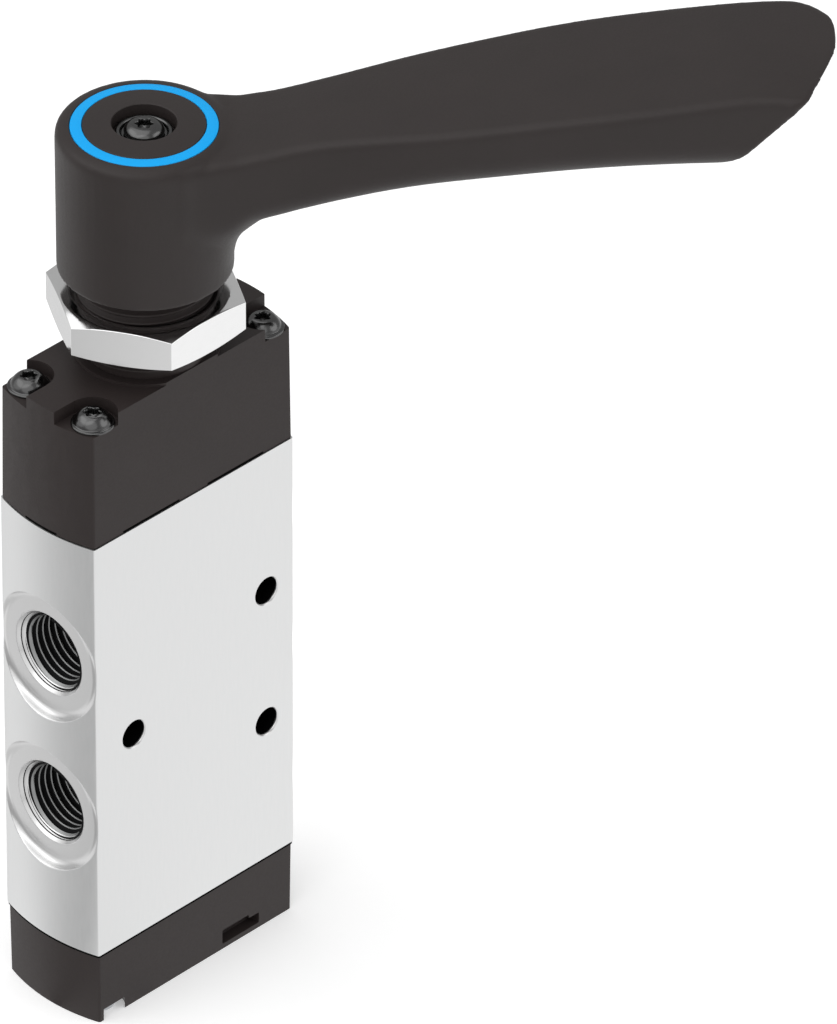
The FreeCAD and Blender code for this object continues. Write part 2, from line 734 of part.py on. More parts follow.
def make_shaft_seal():
    # A lip ring: full height against the neck's bore, narrow where it meets the shaft.
    inner = journal_radius + journal_running_gap
    waist = (inner + neck_bore_radius) / 2
    half = shaft_seal_height / 2
    profile = [(neck_bore_radius - seat_gap, -half), (neck_bore_radius - seat_gap, half), (waist, half),
               (inner, shaft_seal_lip / 2), (inner, -shaft_seal_lip / 2), (waist, -half)]
    return turned(profile, z_neck_top - shaft_seal_drop)


def make_thrust_washer():
    inner = journal_radius + thrust_washer_bore_gap
    return ring(inner, thrust_washer_outer, z_thrust_washer, z_thrust_washer + thrust_washer_thickness)


def make_pin_guide():
    floor_top = z_body_top + guide_floor_thickness
    sleeve = cylinder(guide_outer_radius, z_body_top, z_deck)
    foot = housing_cavity(z_body_top, floor_top, guide_fit_gap)
    deck = housing_cavity(z_deck - guide_floor_thickness, z_deck, guide_fit_gap)
    cutters = [cylinder(guide_inner_radius, floor_top, z_deck)]
    cutters.append(cylinder(guide_floor_bore, z_body_top, floor_top))
    half = guide_slot_width / 2
    reach = guide_outer_radius + overcut
    z_low = pin_travel[0] - half
    z_high = pin_travel[1] + half
    cutters.append(box(-reach, reach, -half, half, z_low, z_high))
    return sleeve.fuse([foot, deck]).cut(cutters)


def make_detent_spring():
    # A flat hairpin: two straight arms on the shaft's flats, joined by a half-round bend.
    inner = detent_across_flats / 2 + detent_strip_gap
    outer = inner + detent_strip_thickness
    bend_x = cavity_reach - guide_fit_gap - outer - detent_strip_thickness
    z_low = z_detent + detent_strip_gap
    z_high = z_low + detent_strip_height
    bend = ring(inner, outer, z_low, z_high, bend_x).cut(box(bend_x - outer, bend_x, -outer, outer, z_low, z_high))
    arms = [box(-detent_arm_reach, bend_x, side * inner + min(0, side) * detent_strip_thickness,
                side * inner + max(0, side) * detent_strip_thickness, z_low, z_high) for side in (-1, 1)]
    return bend.fuse(arms).removeSplitter()


def make_spool():
    # Lands close a seal and waists open it. At rest the middle chamber feeds the one above.
    half_stroke = spool_stroke / 2
    low_land = (z_body + spool_end_height, z_body + chamber_pitch)
    lower = (seal_heights[1] + half_stroke, seal_heights[2] + half_stroke)
    upper = (seal_heights[3] + half_stroke, seal_heights[4] + half_stroke)
    top_land = (seal_heights[5] - seal_width * 1.5, z_body_top - spool_top_drop)
    profile = [(0, low_land[0])]
    for low, high in (low_land, lower, upper, top_land):
        c = spool_edge_chamfer
        if low != low_land[0]:
            profile.append((spool_waist_radius, low))
        profile += [(spool_land_radius - c, low), (spool_land_radius, low + c),
                    (spool_land_radius, high - c), (spool_land_radius - c, high)]
        if high != top_land[1]:
            profile.append((spool_waist_radius, high))
    z_tip = z_pin + spool_stem_above_pin
    c = spool_edge_chamfer
    profile += [(spool_stem_radius, top_land[1]), (spool_stem_radius, z_tip - c),
                (spool_stem_radius - c, z_tip), (0, z_tip)]
    return turned(profile).cut(drive_pin_solid())


def drive_pin_solid():
    start = Vector(-drive_pin_length / 2, 0, z_pin)
    return Part.makeCylinder(drive_pin_radius, drive_pin_length, start, Vector(1, 0, 0))


def make_spool_seals():
    inner = spool_land_radius + seal_running_gap
    outer = spool_bore_radius - seat_gap
    half = seal_width / 2
    seals = []
    for z in seal_heights:
        seals.append(turned([(outer, -half), (outer, half), (seal_nose_radius, half), (inner, seal_lip_half_width),
                             (inner, -seal_lip_half_width), (seal_nose_radius, -half)], z))
    return Part.makeCompound(seals)


def make_spacer_cages():
    # One cage in each chamber, with an outer channel and windows that let the air through.
    outer = spool_bore_radius - seat_gap
    half = (chamber_pitch - seal_width) / 2
    cages = []
    for z in chambers:
        cage = ring(cage_inner_radius, outer, z - half, z + half)
        channel = ring(cage_channel_radius, outer, z - cage_channel_width / 2, z + cage_channel_width / 2)
        cutters = [channel]
        for i in range(cage_window_count):
            window = box(0, outer, -cage_window_width / 2, cage_window_width / 2,
                         z - cage_window_height / 2, z + cage_window_height / 2)
            window.rotate(Vector(0, 0, 0), Vector(0, 0, 1), i * 360 / cage_window_count)
            cutters.append(window)
        cages.append(cage.cut(cutters))
    return Part.makeCompound(cages)


def make_end_bushes():
    outer = spool_bore_radius - seat_gap
    inner = spool_land_radius + end_bush_bore_gap
    low = ring(inner, outer, z_body, seal_heights[0] - seal_width / 2)
    high = ring(inner, outer, seal_heights[-1] + seal_width / 2, z_body_top)
    return Part.makeCompound([low, high])


def make_stop_pad():
    z_low = base_height - base_cavity_depth
    return cylinder(stop_pad_radius, z_low, z_low + stop_pad_thickness)


nodes = {
    "valve_body": make_valve_body(),
    "base_cap": make_base_cap(),
    "base_gasket": make_base_gasket(),
    "base_screws": Part.makeCompound([base_screw(x, y) for x, y in base_corners]),
    "top_housing": make_top_housing(),
    "top_gasket": top_gasket_shape(z_body_top, z_body_top + top_gasket_thickness),
    "housing_screws": Part.makeCompound([pan_screw(x, y) for x, y in corners]),
    "panel_nut": make_panel_nut(),
    "lever": make_lever(),
    "accent_ring": make_accent_ring(),
    "lever_screw": make_lever_screw(),
    "lever_washer": make_lever_washer(),
    "drive_shaft": make_drive_shaft(),
    "retaining_ring": make_retaining_ring(),
    "shaft_bush": make_shaft_bush(),
    "shaft_seal": make_shaft_seal(),
    "thrust_washer": make_thrust_washer(),
    "pin_guide": make_pin_guide(),
    "detent_spring": make_detent_spring(),
    "spool": make_spool(),
    "drive_pin": drive_pin_solid(),
    "spool_seals": make_spool_seals(),
    "spacer_cages": make_spacer_cages(),
    "end_bushes": make_end_bushes(),
    "stop_pad": make_stop_pad(),
}

for name, shape in nodes.items():
    shape.exportStep("parts/" + name + ".step")
    print(name, len(shape.Solids), round(shape.Volume, 1), shape.isValid())
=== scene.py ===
import bmesh
import bpy
import math
from mathutils import Matrix, Vector
from mathutils.geometry import delaunay_2d_cdt


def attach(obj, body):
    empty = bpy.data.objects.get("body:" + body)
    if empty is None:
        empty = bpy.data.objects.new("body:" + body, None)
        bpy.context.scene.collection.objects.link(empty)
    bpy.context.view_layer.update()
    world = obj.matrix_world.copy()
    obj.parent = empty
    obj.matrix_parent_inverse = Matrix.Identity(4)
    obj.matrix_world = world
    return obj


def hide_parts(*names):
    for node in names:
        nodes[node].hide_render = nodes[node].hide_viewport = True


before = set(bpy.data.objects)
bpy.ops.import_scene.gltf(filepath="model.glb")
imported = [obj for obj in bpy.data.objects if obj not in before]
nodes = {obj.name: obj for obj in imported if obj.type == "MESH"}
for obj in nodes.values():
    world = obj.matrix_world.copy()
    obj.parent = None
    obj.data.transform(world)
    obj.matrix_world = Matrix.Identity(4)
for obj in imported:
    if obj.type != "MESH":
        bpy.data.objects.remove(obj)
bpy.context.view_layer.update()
mm = 0.001  # every shape below is drawn in millimetres and brought to metres at the end
print("frame loaded:", len(nodes), "nodes")

# Camera

cameraSetup = {
    "place": (-1.204906, -1.242258, 1.310201),  # metres, on the line of sight of the photograph
    "aimPoint": (0.031903, -0.028899, 0.083197),
    "roll": 0.3166,  # degrees
    "lens": 469.96,  # a long lens, so the edges stay almost parallel
    "sensor": 36.0,
    "clip": (0.1, 50.0),
}


def makeCamera(setup):
    lens = bpy.data.cameras.new("photoCamera")
    lens.lens = setup["lens"]
    lens.sensor_width = setup["sensor"]
    lens.clip_start, lens.clip_end = setup["clip"]
    camera = bpy.data.objects.new("photoCamera", lens)
    place = Vector(setup["place"])
    aim = (Vector(setup["aimPoint"]) - place).to_track_quat("-Z", "Y").to_matrix().to_4x4()
    roll = Matrix.Rotation(math.radians(setup["roll"]), 4, "Z")
    camera.matrix_world = Matrix.Translation(place) @ aim @ roll
    bpy.context.scene.collection.objects.link(camera)
    bpy.context.scene.camera = camera


# Studio

studio = {
    "floorColour": "#f4f4f4",
    "floorSize": 8.0,  # metres across
    "floorLift": (0.33, 1.0, 0.4, 1.4),  # lift to white near by and far off, and metres where it changes
    "paintedFloorReflection": (  # painted reflection: the glow that reflections see on the floor round the valve, as share of a turn from -X and brightness there
        (0.0, 0.45), (0.03, 0.52), (0.055, 0.72), (0.16, 0.98), (0.24, 1.0), (0.5, 1.0),
        (0.62, 0.86), (0.7, 0.7), (0.79, 1.0), (0.84, 0.93), (0.91, 0.58), (1.0, 0.45)),
    "floorCentre": (-0.022, -0.002, 0.0),  # the point that those shares of a turn go round
    "paintedReflectionFade": (1.0, 0.7, 0.3, 0.7),  # what is left of the painted reflection near by and far off, and metres where it changes
    "skyColour": "#ffffff",
    "skyOnObject": 0.42,  # strength of the soft light from all round
    "aimAt": (0.01, -0.01, 0.08),
    "lamps": {  # place in metres, size in metres, power in watts
        "keyLamp": ((0.9, -1.25, 0.75), 1.5, 5.9),
        "sideLamp": ((-1.05, -0.75, 0.9), 2.0, 5.6),
        "backLamp": ((-0.95, 0.9, 0.85), 1.8, 4.1),
        "topLamp": ((-0.5, 0.35, 1.5), 2.6, 13.0),
    },
}


def hexToLinear(text):
    channels = [int(text[i:i + 2], 16) / 255 for i in (1, 3, 5)]
    return [c / 12.92 if c <= 0.04045 else ((c + 0.055) / 1.055) ** 2.4 for c in channels] + [1.0]


def addNode(tree, kind, values=None, links=None, **options):
    node = tree.nodes.new("ShaderNode" + kind)
    for name, value in options.items():
        setattr(node, name, value)
    for socket, value in (values or {}).items():
        node.inputs[socket].default_value = value
    for socket, source in (links or {}).items():
        tree.links.new(source, node.inputs[socket])
    return node


def emptyMaterial(name):
    material = bpy.data.materials.new(name)
    material.use_nodes = True
    material.node_tree.nodes.clear()
    return material, material.node_tree


def changeWithDistance(tree, place, change):
    # a value that goes softly from one level to another with the distance from the valve
    near, far, start, stop = change
    reach = addNode(tree, "VectorMath", links={0: place}, operation="LENGTH")
    return addNode(tree, "MapRange", {"From Min": start, "From Max": stop, "To Min": near, "To Max": far},
                   {"Value": reach.outputs["Value"]}, interpolation_type="SMOOTHSTEP").outputs[0]


def paintedFloorReflection(tree, place, setup):
    # painted reflection: a glow on the floor that only glossy rays see, brighter on the front side than on the
    # others and dimmer far off, so that metal shows its turns
    moved = addNode(tree, "VectorMath", {1: setup["floorCentre"]}, {0: place}, operation="SUBTRACT")
    around = addNode(tree, "TexGradient", links={"Vector": moved.outputs[0]}, gradient_type="RADIAL")
    ramp = addNode(tree, "ValToRGB", links={0: around.outputs["Fac"]})
    stops = setup["paintedFloorReflection"]
    for position, _ in stops[1:-1]:
        ramp.color_ramp.elements.new(position)
    for element, (_, level) in zip(ramp.color_ramp.elements, stops):
        element.color = (level, level, level, 1)
    fade = changeWithDistance(tree, place, setup["paintedReflectionFade"])
    return addNode(tree, "Emission", links={"Color": ramp.outputs[0], "Strength": fade}).outputs[0]


def makeFloor(setup):
    # matt white paint, rolled on: no gloss at all, and only the camera sees it lifted to white; glossy rays
    # see a painted reflection glow instead
    floorPaint, tree = emptyMaterial("paintedStudioFloor")
    path = addNode(tree, "LightPath").outputs
    place = addNode(tree, "TexCoord").outputs["Object"]
    paint = addNode(tree, "BsdfDiffuse", {"Color": hexToLinear(setup["floorColour"])})
    lift = changeWithDistance(tree, place, setup["floorLift"])
    seenLift = addNode(tree, "Math", links={0: lift, 1: path["Is Camera Ray"]}, operation="MULTIPLY")
    glow = addNode(tree, "Emission", links={"Strength": seenLift.outputs[0]})
    seen = addNode(tree, "AddShader", links={0: paint.outputs[0], 1: glow.outputs[0]}).outputs[0]
    # glossy rays see only the painted reflection, not the lit paint
    paintedGlossGlow = paintedFloorReflection(tree, place, setup)
    both = addNode(tree, "MixShader", links={0: path["Is Glossy Ray"], 1: seen, 2: paintedGlossGlow})
    addNode(tree, "OutputMaterial", links={"Surface": both.outputs[0]})
    half = setup["floorSize"] / 2
    mesh = bpy.data.meshes.new("studioFloor")
    corners = [(-half, -half, 0), (half, -half, 0), (half, half, 0), (-half, half, 0)]
    mesh.from_pydata(corners, [], [(0, 1, 2, 3)])
    mesh.materials.append(floorPaint)
    floor = bpy.data.objects.new("studioFloor", mesh)
    bpy.context.scene.collection.objects.link(floor)


def makeSky(setup):
    # white to the camera, and a weaker soft light for all else
    world = bpy.data.worlds.new("softWhiteRoom")
    bpy.context.scene.world = world
    world.use_nodes = True
    tree = world.node_tree
    tree.nodes.clear()
    strength = addNode(tree, "MapRange", {"To Min": setup["skyOnObject"], "To Max": 1.0},
                       {"Value": addNode(tree, "LightPath").outputs["Is Camera Ray"]})
    sky = addNode(tree, "Background", {"Color": hexToLinear(setup["skyColour"])},
                  {"Strength": strength.outputs[0]})
    addNode(tree, "OutputWorld", links={"Surface": sky.outputs[0]})


def addLamp(name, place, size, power, aimAt):
    light = bpy.data.lights.new(name, "AREA")
    light.shape = "DISK"
    light.size = size
    light.energy = power
    lamp = bpy.data.objects.new(name, light)
    lamp.location = place
    lamp.rotation_euler = (Vector(aimAt) - Vector(place)).to_track_quat("-Z", "Y").to_euler()
    lamp.visible_camera = False
    bpy.context.scene.collection.objects.link(lamp)


makeCamera(cameraSetup)
makeSky(studio)
makeFloor(studio)
for lampName, (place, size, power) in studio["lamps"].items():
    addLamp(lampName, place, size, power, studio["aimAt"])
bpy.context.scene.view_settings.view_transform = "Standard"
print("studio ready")

# Finishes

noiseRange = (0.3, 0.7)  # where nearly all values of a noise texture lie

plasticSkin = {
    "cloud": 9.0,  # mm, lighter and darker patches where the tool is worn
    "swing": 0.03,  # how far the roughness moves with the grain
    "bump": 0.25,
    "grainDetail": 1.0,
    "ior": 1.5,
}


def perMetre(size):
    # a texture's scale for a pattern of that size in millimetres
    return 1 / (size * mm)


def startFinish(name, roughness, **sockets):
    material, tree = emptyMaterial(name)
    shader = addNode(tree, "BsdfPrincipled", {"Roughness": roughness, **sockets})
    addNode(tree, "OutputMaterial", links={"Surface": shader.outputs[0]})
    place = addNode(tree, "TexCoord").outputs["Object"]
    return material, tree, shader, place


def mottle(tree, place, size, detail=2.0):
    sockets = {"Scale": perMetre(size), "Detail": detail}
    return addNode(tree, "TexNoise", sockets, {"Vector": place}).outputs["Fac"]


def blendColours(tree, factor, low, high):
    mix = addNode(tree, "Mix", links={"Factor": factor}, data_type="RGBA")
    mix.inputs[6].default_value = hexToLinear(low)
    mix.inputs[7].default_value = hexToLinear(high)
    return mix.outputs[2]


def spread(tree, value, middle, swing):
    low, high = noiseRange
    sockets = {"From Min": low, "From Max": high, "To Min": middle - swing, "To Max": middle + swing}
    return addNode(tree, "MapRange", sockets, {"Value": value}).outputs[0]


def mouldedPlastic(name, dark, light, roughness, grain, relief, shine=0.35):
    # Injection moulded in a spark-eroded tool: a satin skin, a shade lighter where the tool is worn.
    # The real grain is finer than a pixel, so it is drawn coarse enough to soften the highlights.
    sockets = {"IOR": plasticSkin["ior"], "Specular IOR Level": shine}
    material, tree, shader, place = startFinish(name, roughness, **sockets)
    cloud = mottle(tree, place, plasticSkin["cloud"])
    fine = mottle(tree, place, grain, plasticSkin["grainDetail"])
    tree.links.new(blendColours(tree, cloud, dark, light), shader.inputs["Base Color"])
    tree.links.new(spread(tree, fine, roughness, plasticSkin["swing"]), shader.inputs["Roughness"])
    bump = addNode(tree, "Bump", {"Strength": plasticSkin["bump"], "Distance": relief * mm}, {"Height": fine})
    tree.links.new(bump.outputs[0], shader.inputs["Normal"])
    return material


def metalFinish(name, dark, light, roughness, swing, grain, stretch=(1, 1, 1)):
    # Bare or plated metal: the colour barely moves, the gloss follows the marks that made the surface
    material, tree, shader, place = startFinish(name, roughness, Metallic=1.0)
    scaled = addNode(tree, "Mapping", {"Scale": stretch}, {"Vector": place}).outputs[0]
    marks = mottle(tree, scaled, grain)
    tree.links.new(blendColours(tree, marks, dark, light), shader.inputs["Base Color"])
    tree.links.new(spread(tree, marks, roughness, swing), shader.inputs["Roughness"])
    return material


# moulded: dark and light colour, roughness, grain in mm, its relief in mm, shine
# metal: dark and light colour, roughness, how far it moves, size of the marks in mm, how they stretch
finishes = {
    # a warm near-black with broad, soft highlights
    "polyamide": mouldedPlastic("polyamideMoulded", "#2d2726", "#322b2a", 0.5, 0.35, 0.02, 0.3),
    # the same from a smoother tool: a shade lighter, so that the long curves show
    "polyamideLever": mouldedPlastic("polyamideLeverMoulded", "#2f2a29", "#342e2d", 0.46, 0.35, 0.015, 0.3),
    # a clear, strong blue with hardly any shine
    "blueAcetal": mouldedPlastic("acetalAccentMoulded", "#0cacfa", "#14b1fc", 0.42, 0.3, 0.005, 0.2),
    # pale and even, with faint streaks up the wall from the die
    "aluminium": metalFinish("aluminiumExtrudedAnodised", "#e7e8e8", "#eeeeee", 0.42, 0.03, 0.5,
                             (1, 1, 0.15)),
    # smoother than the extruded wall, so that cut faces catch the light at their edges
    "aluminiumTurned": metalFinish("aluminiumTurned", "#dcdcdc", "#e0e0e0", 0.3, 0.02, 0.8),
    # painted shade: bores, the port grooves and the thread flanks are made almost black for the shade deep
    # inside them
    "aluminiumBored": metalFinish("aluminiumBorePaintedShade", "#19191a", "#232324", 0.5, 0.05, 0.4),
    # a mid grey, darkened as painted shade inside the port, so that thread crests stand out as thin grey lines
    # before the painted-dark flanks and bore
    "aluminiumTappedShaded": metalFinish("threadCrestPaintedShade", "#959696", "#a4a5a5", 0.38, 0.05, 0.4),
    # bright plate with clear reflections, so that each flat has its own tone
    "nickel": metalFinish("steelNickelPlated", "#f0f0f0", "#f6f6f6", 0.13, 0.02, 1.2),
    # dark grey plate with small sharp highlights on screw heads
    "darkChrome": metalFinish("steelDarkChrome", "#5e5e5e", "#666666", 0.22, 0.02, 1.2),
    # black and faintly oily, with a low sheen
    "blackSteel": metalFinish("steelBlackOxide", "#2b2b2b", "#3a3a3a", 0.3, 0.05, 0.4),
    # a cool light grey, dull beside nickel
    "zincSteel": metalFinish("steelZincPlated", "#9a9c9f", "#acaeb1", 0.3, 0.05, 0.5),
    # bare ground steel: bright, with a fine sheen
    "steel": metalFinish("steelGround", "#a9abad", "#bfc1c3", 0.28, 0.05, 0.5),
    # a dull brown gold, from open pores full of oil
    "bronze": metalFinish("bronzeSintered", "#8f6f45", "#a5834f", 0.45, 0.06, 0.4),
    # rubber that takes almost all light, so that joints show as black lines; where a gasket is brought out to
    # its neighbour's wall, that black is partly a painted shadow line
    "nitrile": mouldedPlastic("nitrileRubberMoulded", "#040404", "#070707", 0.85, 0.3, 0.02, 0.05),
    # a milky off-white with a soft sheen
    "acetal": mouldedPlastic("acetalNatural", "#dcdad2", "#e6e4dc", 0.45, 0.4, 0.01),
}

nodeFinishes = {
    "valve_body": "aluminium",
    "base_cap": "polyamide",
    "base_gasket": "nitrile",
    "base_screws": "zincSteel",
    "top_housing": "polyamide",
    "top_gasket": "nitrile",
    "housing_screws": "blackSteel",
    "panel_nut": "nickel",
    "lever": "polyamideLever",
    "accent_ring": "blueAcetal",
    "lever_screw": "blackSteel",
    "lever_washer": "steel",
    "drive_shaft": "steel",
    "retaining_ring": "steel",
    "shaft_bush": "bronze",
    "shaft_seal": "nitrile",
    "thrust_washer": "acetal",
    "pin_guide": "acetal",
    "detent_spring": "steel",
    "spool": "aluminiumTurned",
    "drive_pin": "steel",
    "spool_seals": "nitrile",
    "spacer_cages": "acetal",
    "end_bushes": "aluminiumTurned",
    "stop_pad": "nitrile",
}


def addFinishes(mesh, finishNames):
    for finish in finishNames:
        mesh.materials.append(finishes[finish])


for nodeName, finish in nodeFinishes.items():
    mesh = nodes[nodeName].data
    mesh.materials.clear()
    addFinishes(mesh, (finish,))
print("finishes on every node")

# Drawing helpers: all in millimetres, heights from the base cap's underside

weld = 0.0005  # corners nearer than this become one
nearEnough = 1e-5  # the same, while a flat face is triangulated
past = 1.0  # how far a cutter reaches beyond what it cuts


def openDraft(mesh):
    draft = bmesh.new()
    draft.from_mesh(mesh)
    return draft


def closeDraft(draft, mesh):
    draft.to_mesh(mesh)
    draft.free()


def toPiece(name, draft):
    mesh = bpy.data.meshes.new(name)
    closeDraft(draft, mesh)
    piece = bpy.data.objects.new(name, mesh)
    bpy.context.scene.collection.objects.link(piece)
    return piece


def applyModifiers(piece):
    bpy.context.view_layer.update()
    depsgraph = bpy.context.evaluated_depsgraph_get()
    mesh = bpy.data.meshes.new_from_object(piece.evaluated_get(depsgraph))
    piece.modifiers.clear()
    piece.data = mesh


def softenEdges(piece, width, angle):
    edge = piece.modifiers.new("edges", "BEVEL")
    edge.width = width
    edge.segments = 2
    edge.limit_method = "ANGLE"
    edge.use_clamp_overlap = True
    edge.angle_limit = angle
    even = piece.modifiers.new("even", "WEIGHTED_NORMAL")  # keeps the broad faces flat beside their bevels
    even.weight = 100
    applyModifiers(piece)


def dressPiece(piece, body, slotName, standsFor=(), sharpAngle=35, bevel=0.0):
    # shades, scales to metres, hangs the piece on its body and hides the solids it stands for
    angle = math.radians(sharpAngle)
    piece.data.polygons.foreach_set("use_smooth", [True] * len(piece.data.polygons))
    if bevel:
        softenEdges(piece, bevel, angle)
    else:
        piece.data.set_sharp_from_angle(angle=angle)
    piece.data.transform(Matrix.Scale(mm, 4))
    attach(piece, body)
    if standsFor:
        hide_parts(*standsFor)
    print("made", piece.name, len(piece.data.polygons), "faces")


def finishPiece(name, draft, body, slotName, finishNames, standsFor=(), sharpAngle=35, bevel=0.0):
    bmesh.ops.remove_doubles(draft, verts=draft.verts, dist=weld)
    bmesh.ops.recalc_face_normals(draft, faces=draft.faces)
    piece = toPiece(name, draft)
    addFinishes(piece.data, finishNames)
    dressPiece(piece, body, slotName, standsFor, sharpAngle, bevel)


def cutAway(piece, cutterDraft, solver):
    # takes the drawn shape off a piece that is still in millimetres
    bmesh.ops.recalc_face_normals(cutterDraft, faces=cutterDraft.faces)
    cutter = toPiece("cutter", cutterDraft)
    cut = piece.modifiers.new("cut", "BOOLEAN")
    cut.operation = "DIFFERENCE"
    cut.solver = solver
    cut.object = cutter
    applyModifiers(piece)
    mesh = cutter.data
    bpy.data.objects.remove(cutter)
    bpy.data.meshes.remove(mesh)


def cutTurned(piece, profile, segments, solver="MANIFOLD", closed=False):
    cutter = bmesh.new()
    addTurned(cutter, profile, segments, closed=closed)
    cutAway(piece, cutter, solver)


def softened(profile, radius=0.0, steps=3):
    # rounds each inner corner of an open profile; a point's third number is its own radius
    sideShare = 0.45  # a round takes no more than this of the sides beside it
    points = [profile[0][:2]]
    for before, here, after in zip(profile, profile[1:], profile[2:]):
        corner = Vector(here[:2])
        back = Vector(before[:2]) - corner
        on = Vector(after[:2]) - corner
        reach = min(here[2] if len(here) > 2 else radius, back.length * sideShare, on.length * sideShare)
        if reach <= 0:
            points.append(tuple(corner))
            continue
        start = corner + back.normalized() * reach
        end = corner + on.normalized() * reach
        for i in range(steps + 1):
            t = i / steps
            points.append(tuple(start * (1 - t) ** 2 + corner * 2 * t * (1 - t) + end * t ** 2))
    return points + [profile[-1][:2]]


def pointsRound(centre, radius, turns):
    return [(centre[0] + radius * math.cos(turn), centre[1] + radius * math.sin(turn)) for turn in turns]


def circle(centre, radius, steps):
    return pointsRound(centre, radius, [2 * math.pi * i / steps for i in range(steps)])


def arc(centre, radius, fromAngle, toAngle, steps):
    turns = [math.radians(fromAngle + (toAngle - fromAngle) * i / steps) for i in range(steps + 1)]
    return pointsRound(centre, radius, turns)


def pointAt(reach, turn, height):
    return Vector((reach * math.cos(turn), reach * math.sin(turn), height))


def bridge(draft, low, high, finishIndex=0, closed=True):
    # a strip of faces between two rows of corners
    faces = []
    for k in range(len(low) if closed else len(low) - 1):
        on = (k + 1) % len(low)
        faces.append(draft.faces.new((low[k], low[on], high[on], high[k])))
        faces[-1].material_index = finishIndex
    return faces


def addTurned(draft, profile, segments, place=Matrix(), closed=False, finishIndex=0):
    # rings about an axis from (radius, height) points; a third number is the inner radius of six lobes
    rings = []
    for radius, height, *inner in profile:
        if radius == 0:
            rings.append([draft.verts.new(place @ Vector((0, 0, height)))])
            continue
        low = inner[0] if inner else radius
        ring = []
        for i in range(segments):
            angle = 2 * math.pi * i / segments
            reach = (radius + low) / 2 + (radius - low) / 2 * math.cos(6 * angle)
            ring.append(draft.verts.new(place @ pointAt(reach, angle, height)))
        rings.append(ring)
    for low, high in zip(rings, rings[1:] + (rings[:1] if closed else [])):
        if len(low) == len(high):
            bridge(draft, low, high, finishIndex)
            continue
        for i in range(segments):
            j = (i + 1) % segments
            corners = (low[0], high[j], high[i]) if len(low) == 1 else (low[i], low[j], high[0])
            draft.faces.new(corners).material_index = finishIndex


threadShape = (  # a ridge's outline: shares of its width, and of its height off the wall
    (-0.5, -0.05), (-0.5, 0.0), (-0.42, 0.05), (-0.17, 0.82), (-0.07, 1.0),
    (0.07, 1.0), (0.17, 0.82), (0.42, 0.05), (0.5, 0.0), (0.5, -0.05))
crestStrips = (3, 4, 5)  # the strips of that outline that are the crest
runOutCurve = 0.7  # below 1, so that a ridge grows fast at its very end


def addThread(draft, thread, place=Matrix(), flankIndex=0):
    # one helical ridge standing on a wall, with its ends run out to nothing
    segments, root, pitch = thread["segments"], thread["root"], thread["pitch"]
    count = int((thread["high"] - thread["low"]) / pitch * segments)
    rows = []
    for i in range(count + 1):
        angle = 2 * math.pi * i / segments
        swell = min(1.0, min(i, count - i) / (segments * thread["runOut"])) ** runOutCurve
        row = []
        for along, up in threadShape:
            reach = root + (thread["crest"] - root) * up * (swell if up > 0 else 1)
            height = thread["low"] + pitch * (i / segments + along * thread["share"])
            if "cone" in thread and up > 0:
                coneRadius, coneHeight, widen = thread["cone"]
                reach = max(reach, coneRadius + widen * (height - coneHeight))
            row.append(draft.verts.new(place @ pointAt(reach, angle, height)))
        rows.append(row)
    for low, high in zip(rows, rows[1:]):
        strips = bridge(draft, low, high, flankIndex)
        for k in crestStrips:
            strips[k].material_index = 0
    draft.faces.new(rows[0])
    draft.faces.new(list(reversed(rows[-1])))


def fillFlat(draft, border, holes, inside, lift, finishFor):
    # triangulates a face in its own plane: border and holes are closed loops, inside is loose points
    points = []
    edges = []
    for loop in [border] + holes:
        first = len(points)
        points += [Vector(point) for point in loop]
        edges += [(first + i, first + (i + 1) % len(loop)) for i in range(len(loop))]
    points += [Vector(point) for point in inside]
    flat, _, faces, *_ = delaunay_2d_cdt(points, edges, [], 0, nearEnough)
    verts = [draft.verts.new(lift(point[0], point[1])) for point in flat]
    draft.verts.ensure_lookup_table()
    for face in faces:
        middle = sum((flat[i] for i in face), Vector((0, 0))) / len(face)
        if any(insideLoop(middle, hole) for hole in holes):
            continue
        made = draft.faces.new([verts[i] for i in face])
        made.material_index = finishFor(middle)
    for vert in verts:
        if not vert.link_faces:
            draft.verts.remove(vert)


def insideLoop(point, loop):
    # for a round loop; a point must be clear of the loop itself
    clearShare = 0.998
    centre = sum((Vector(corner) for corner in loop), Vector((0, 0))) / len(loop)
    return (Vector(point) - centre).length < (Vector(loop[0]) - centre).length * clearShare


# Valve body

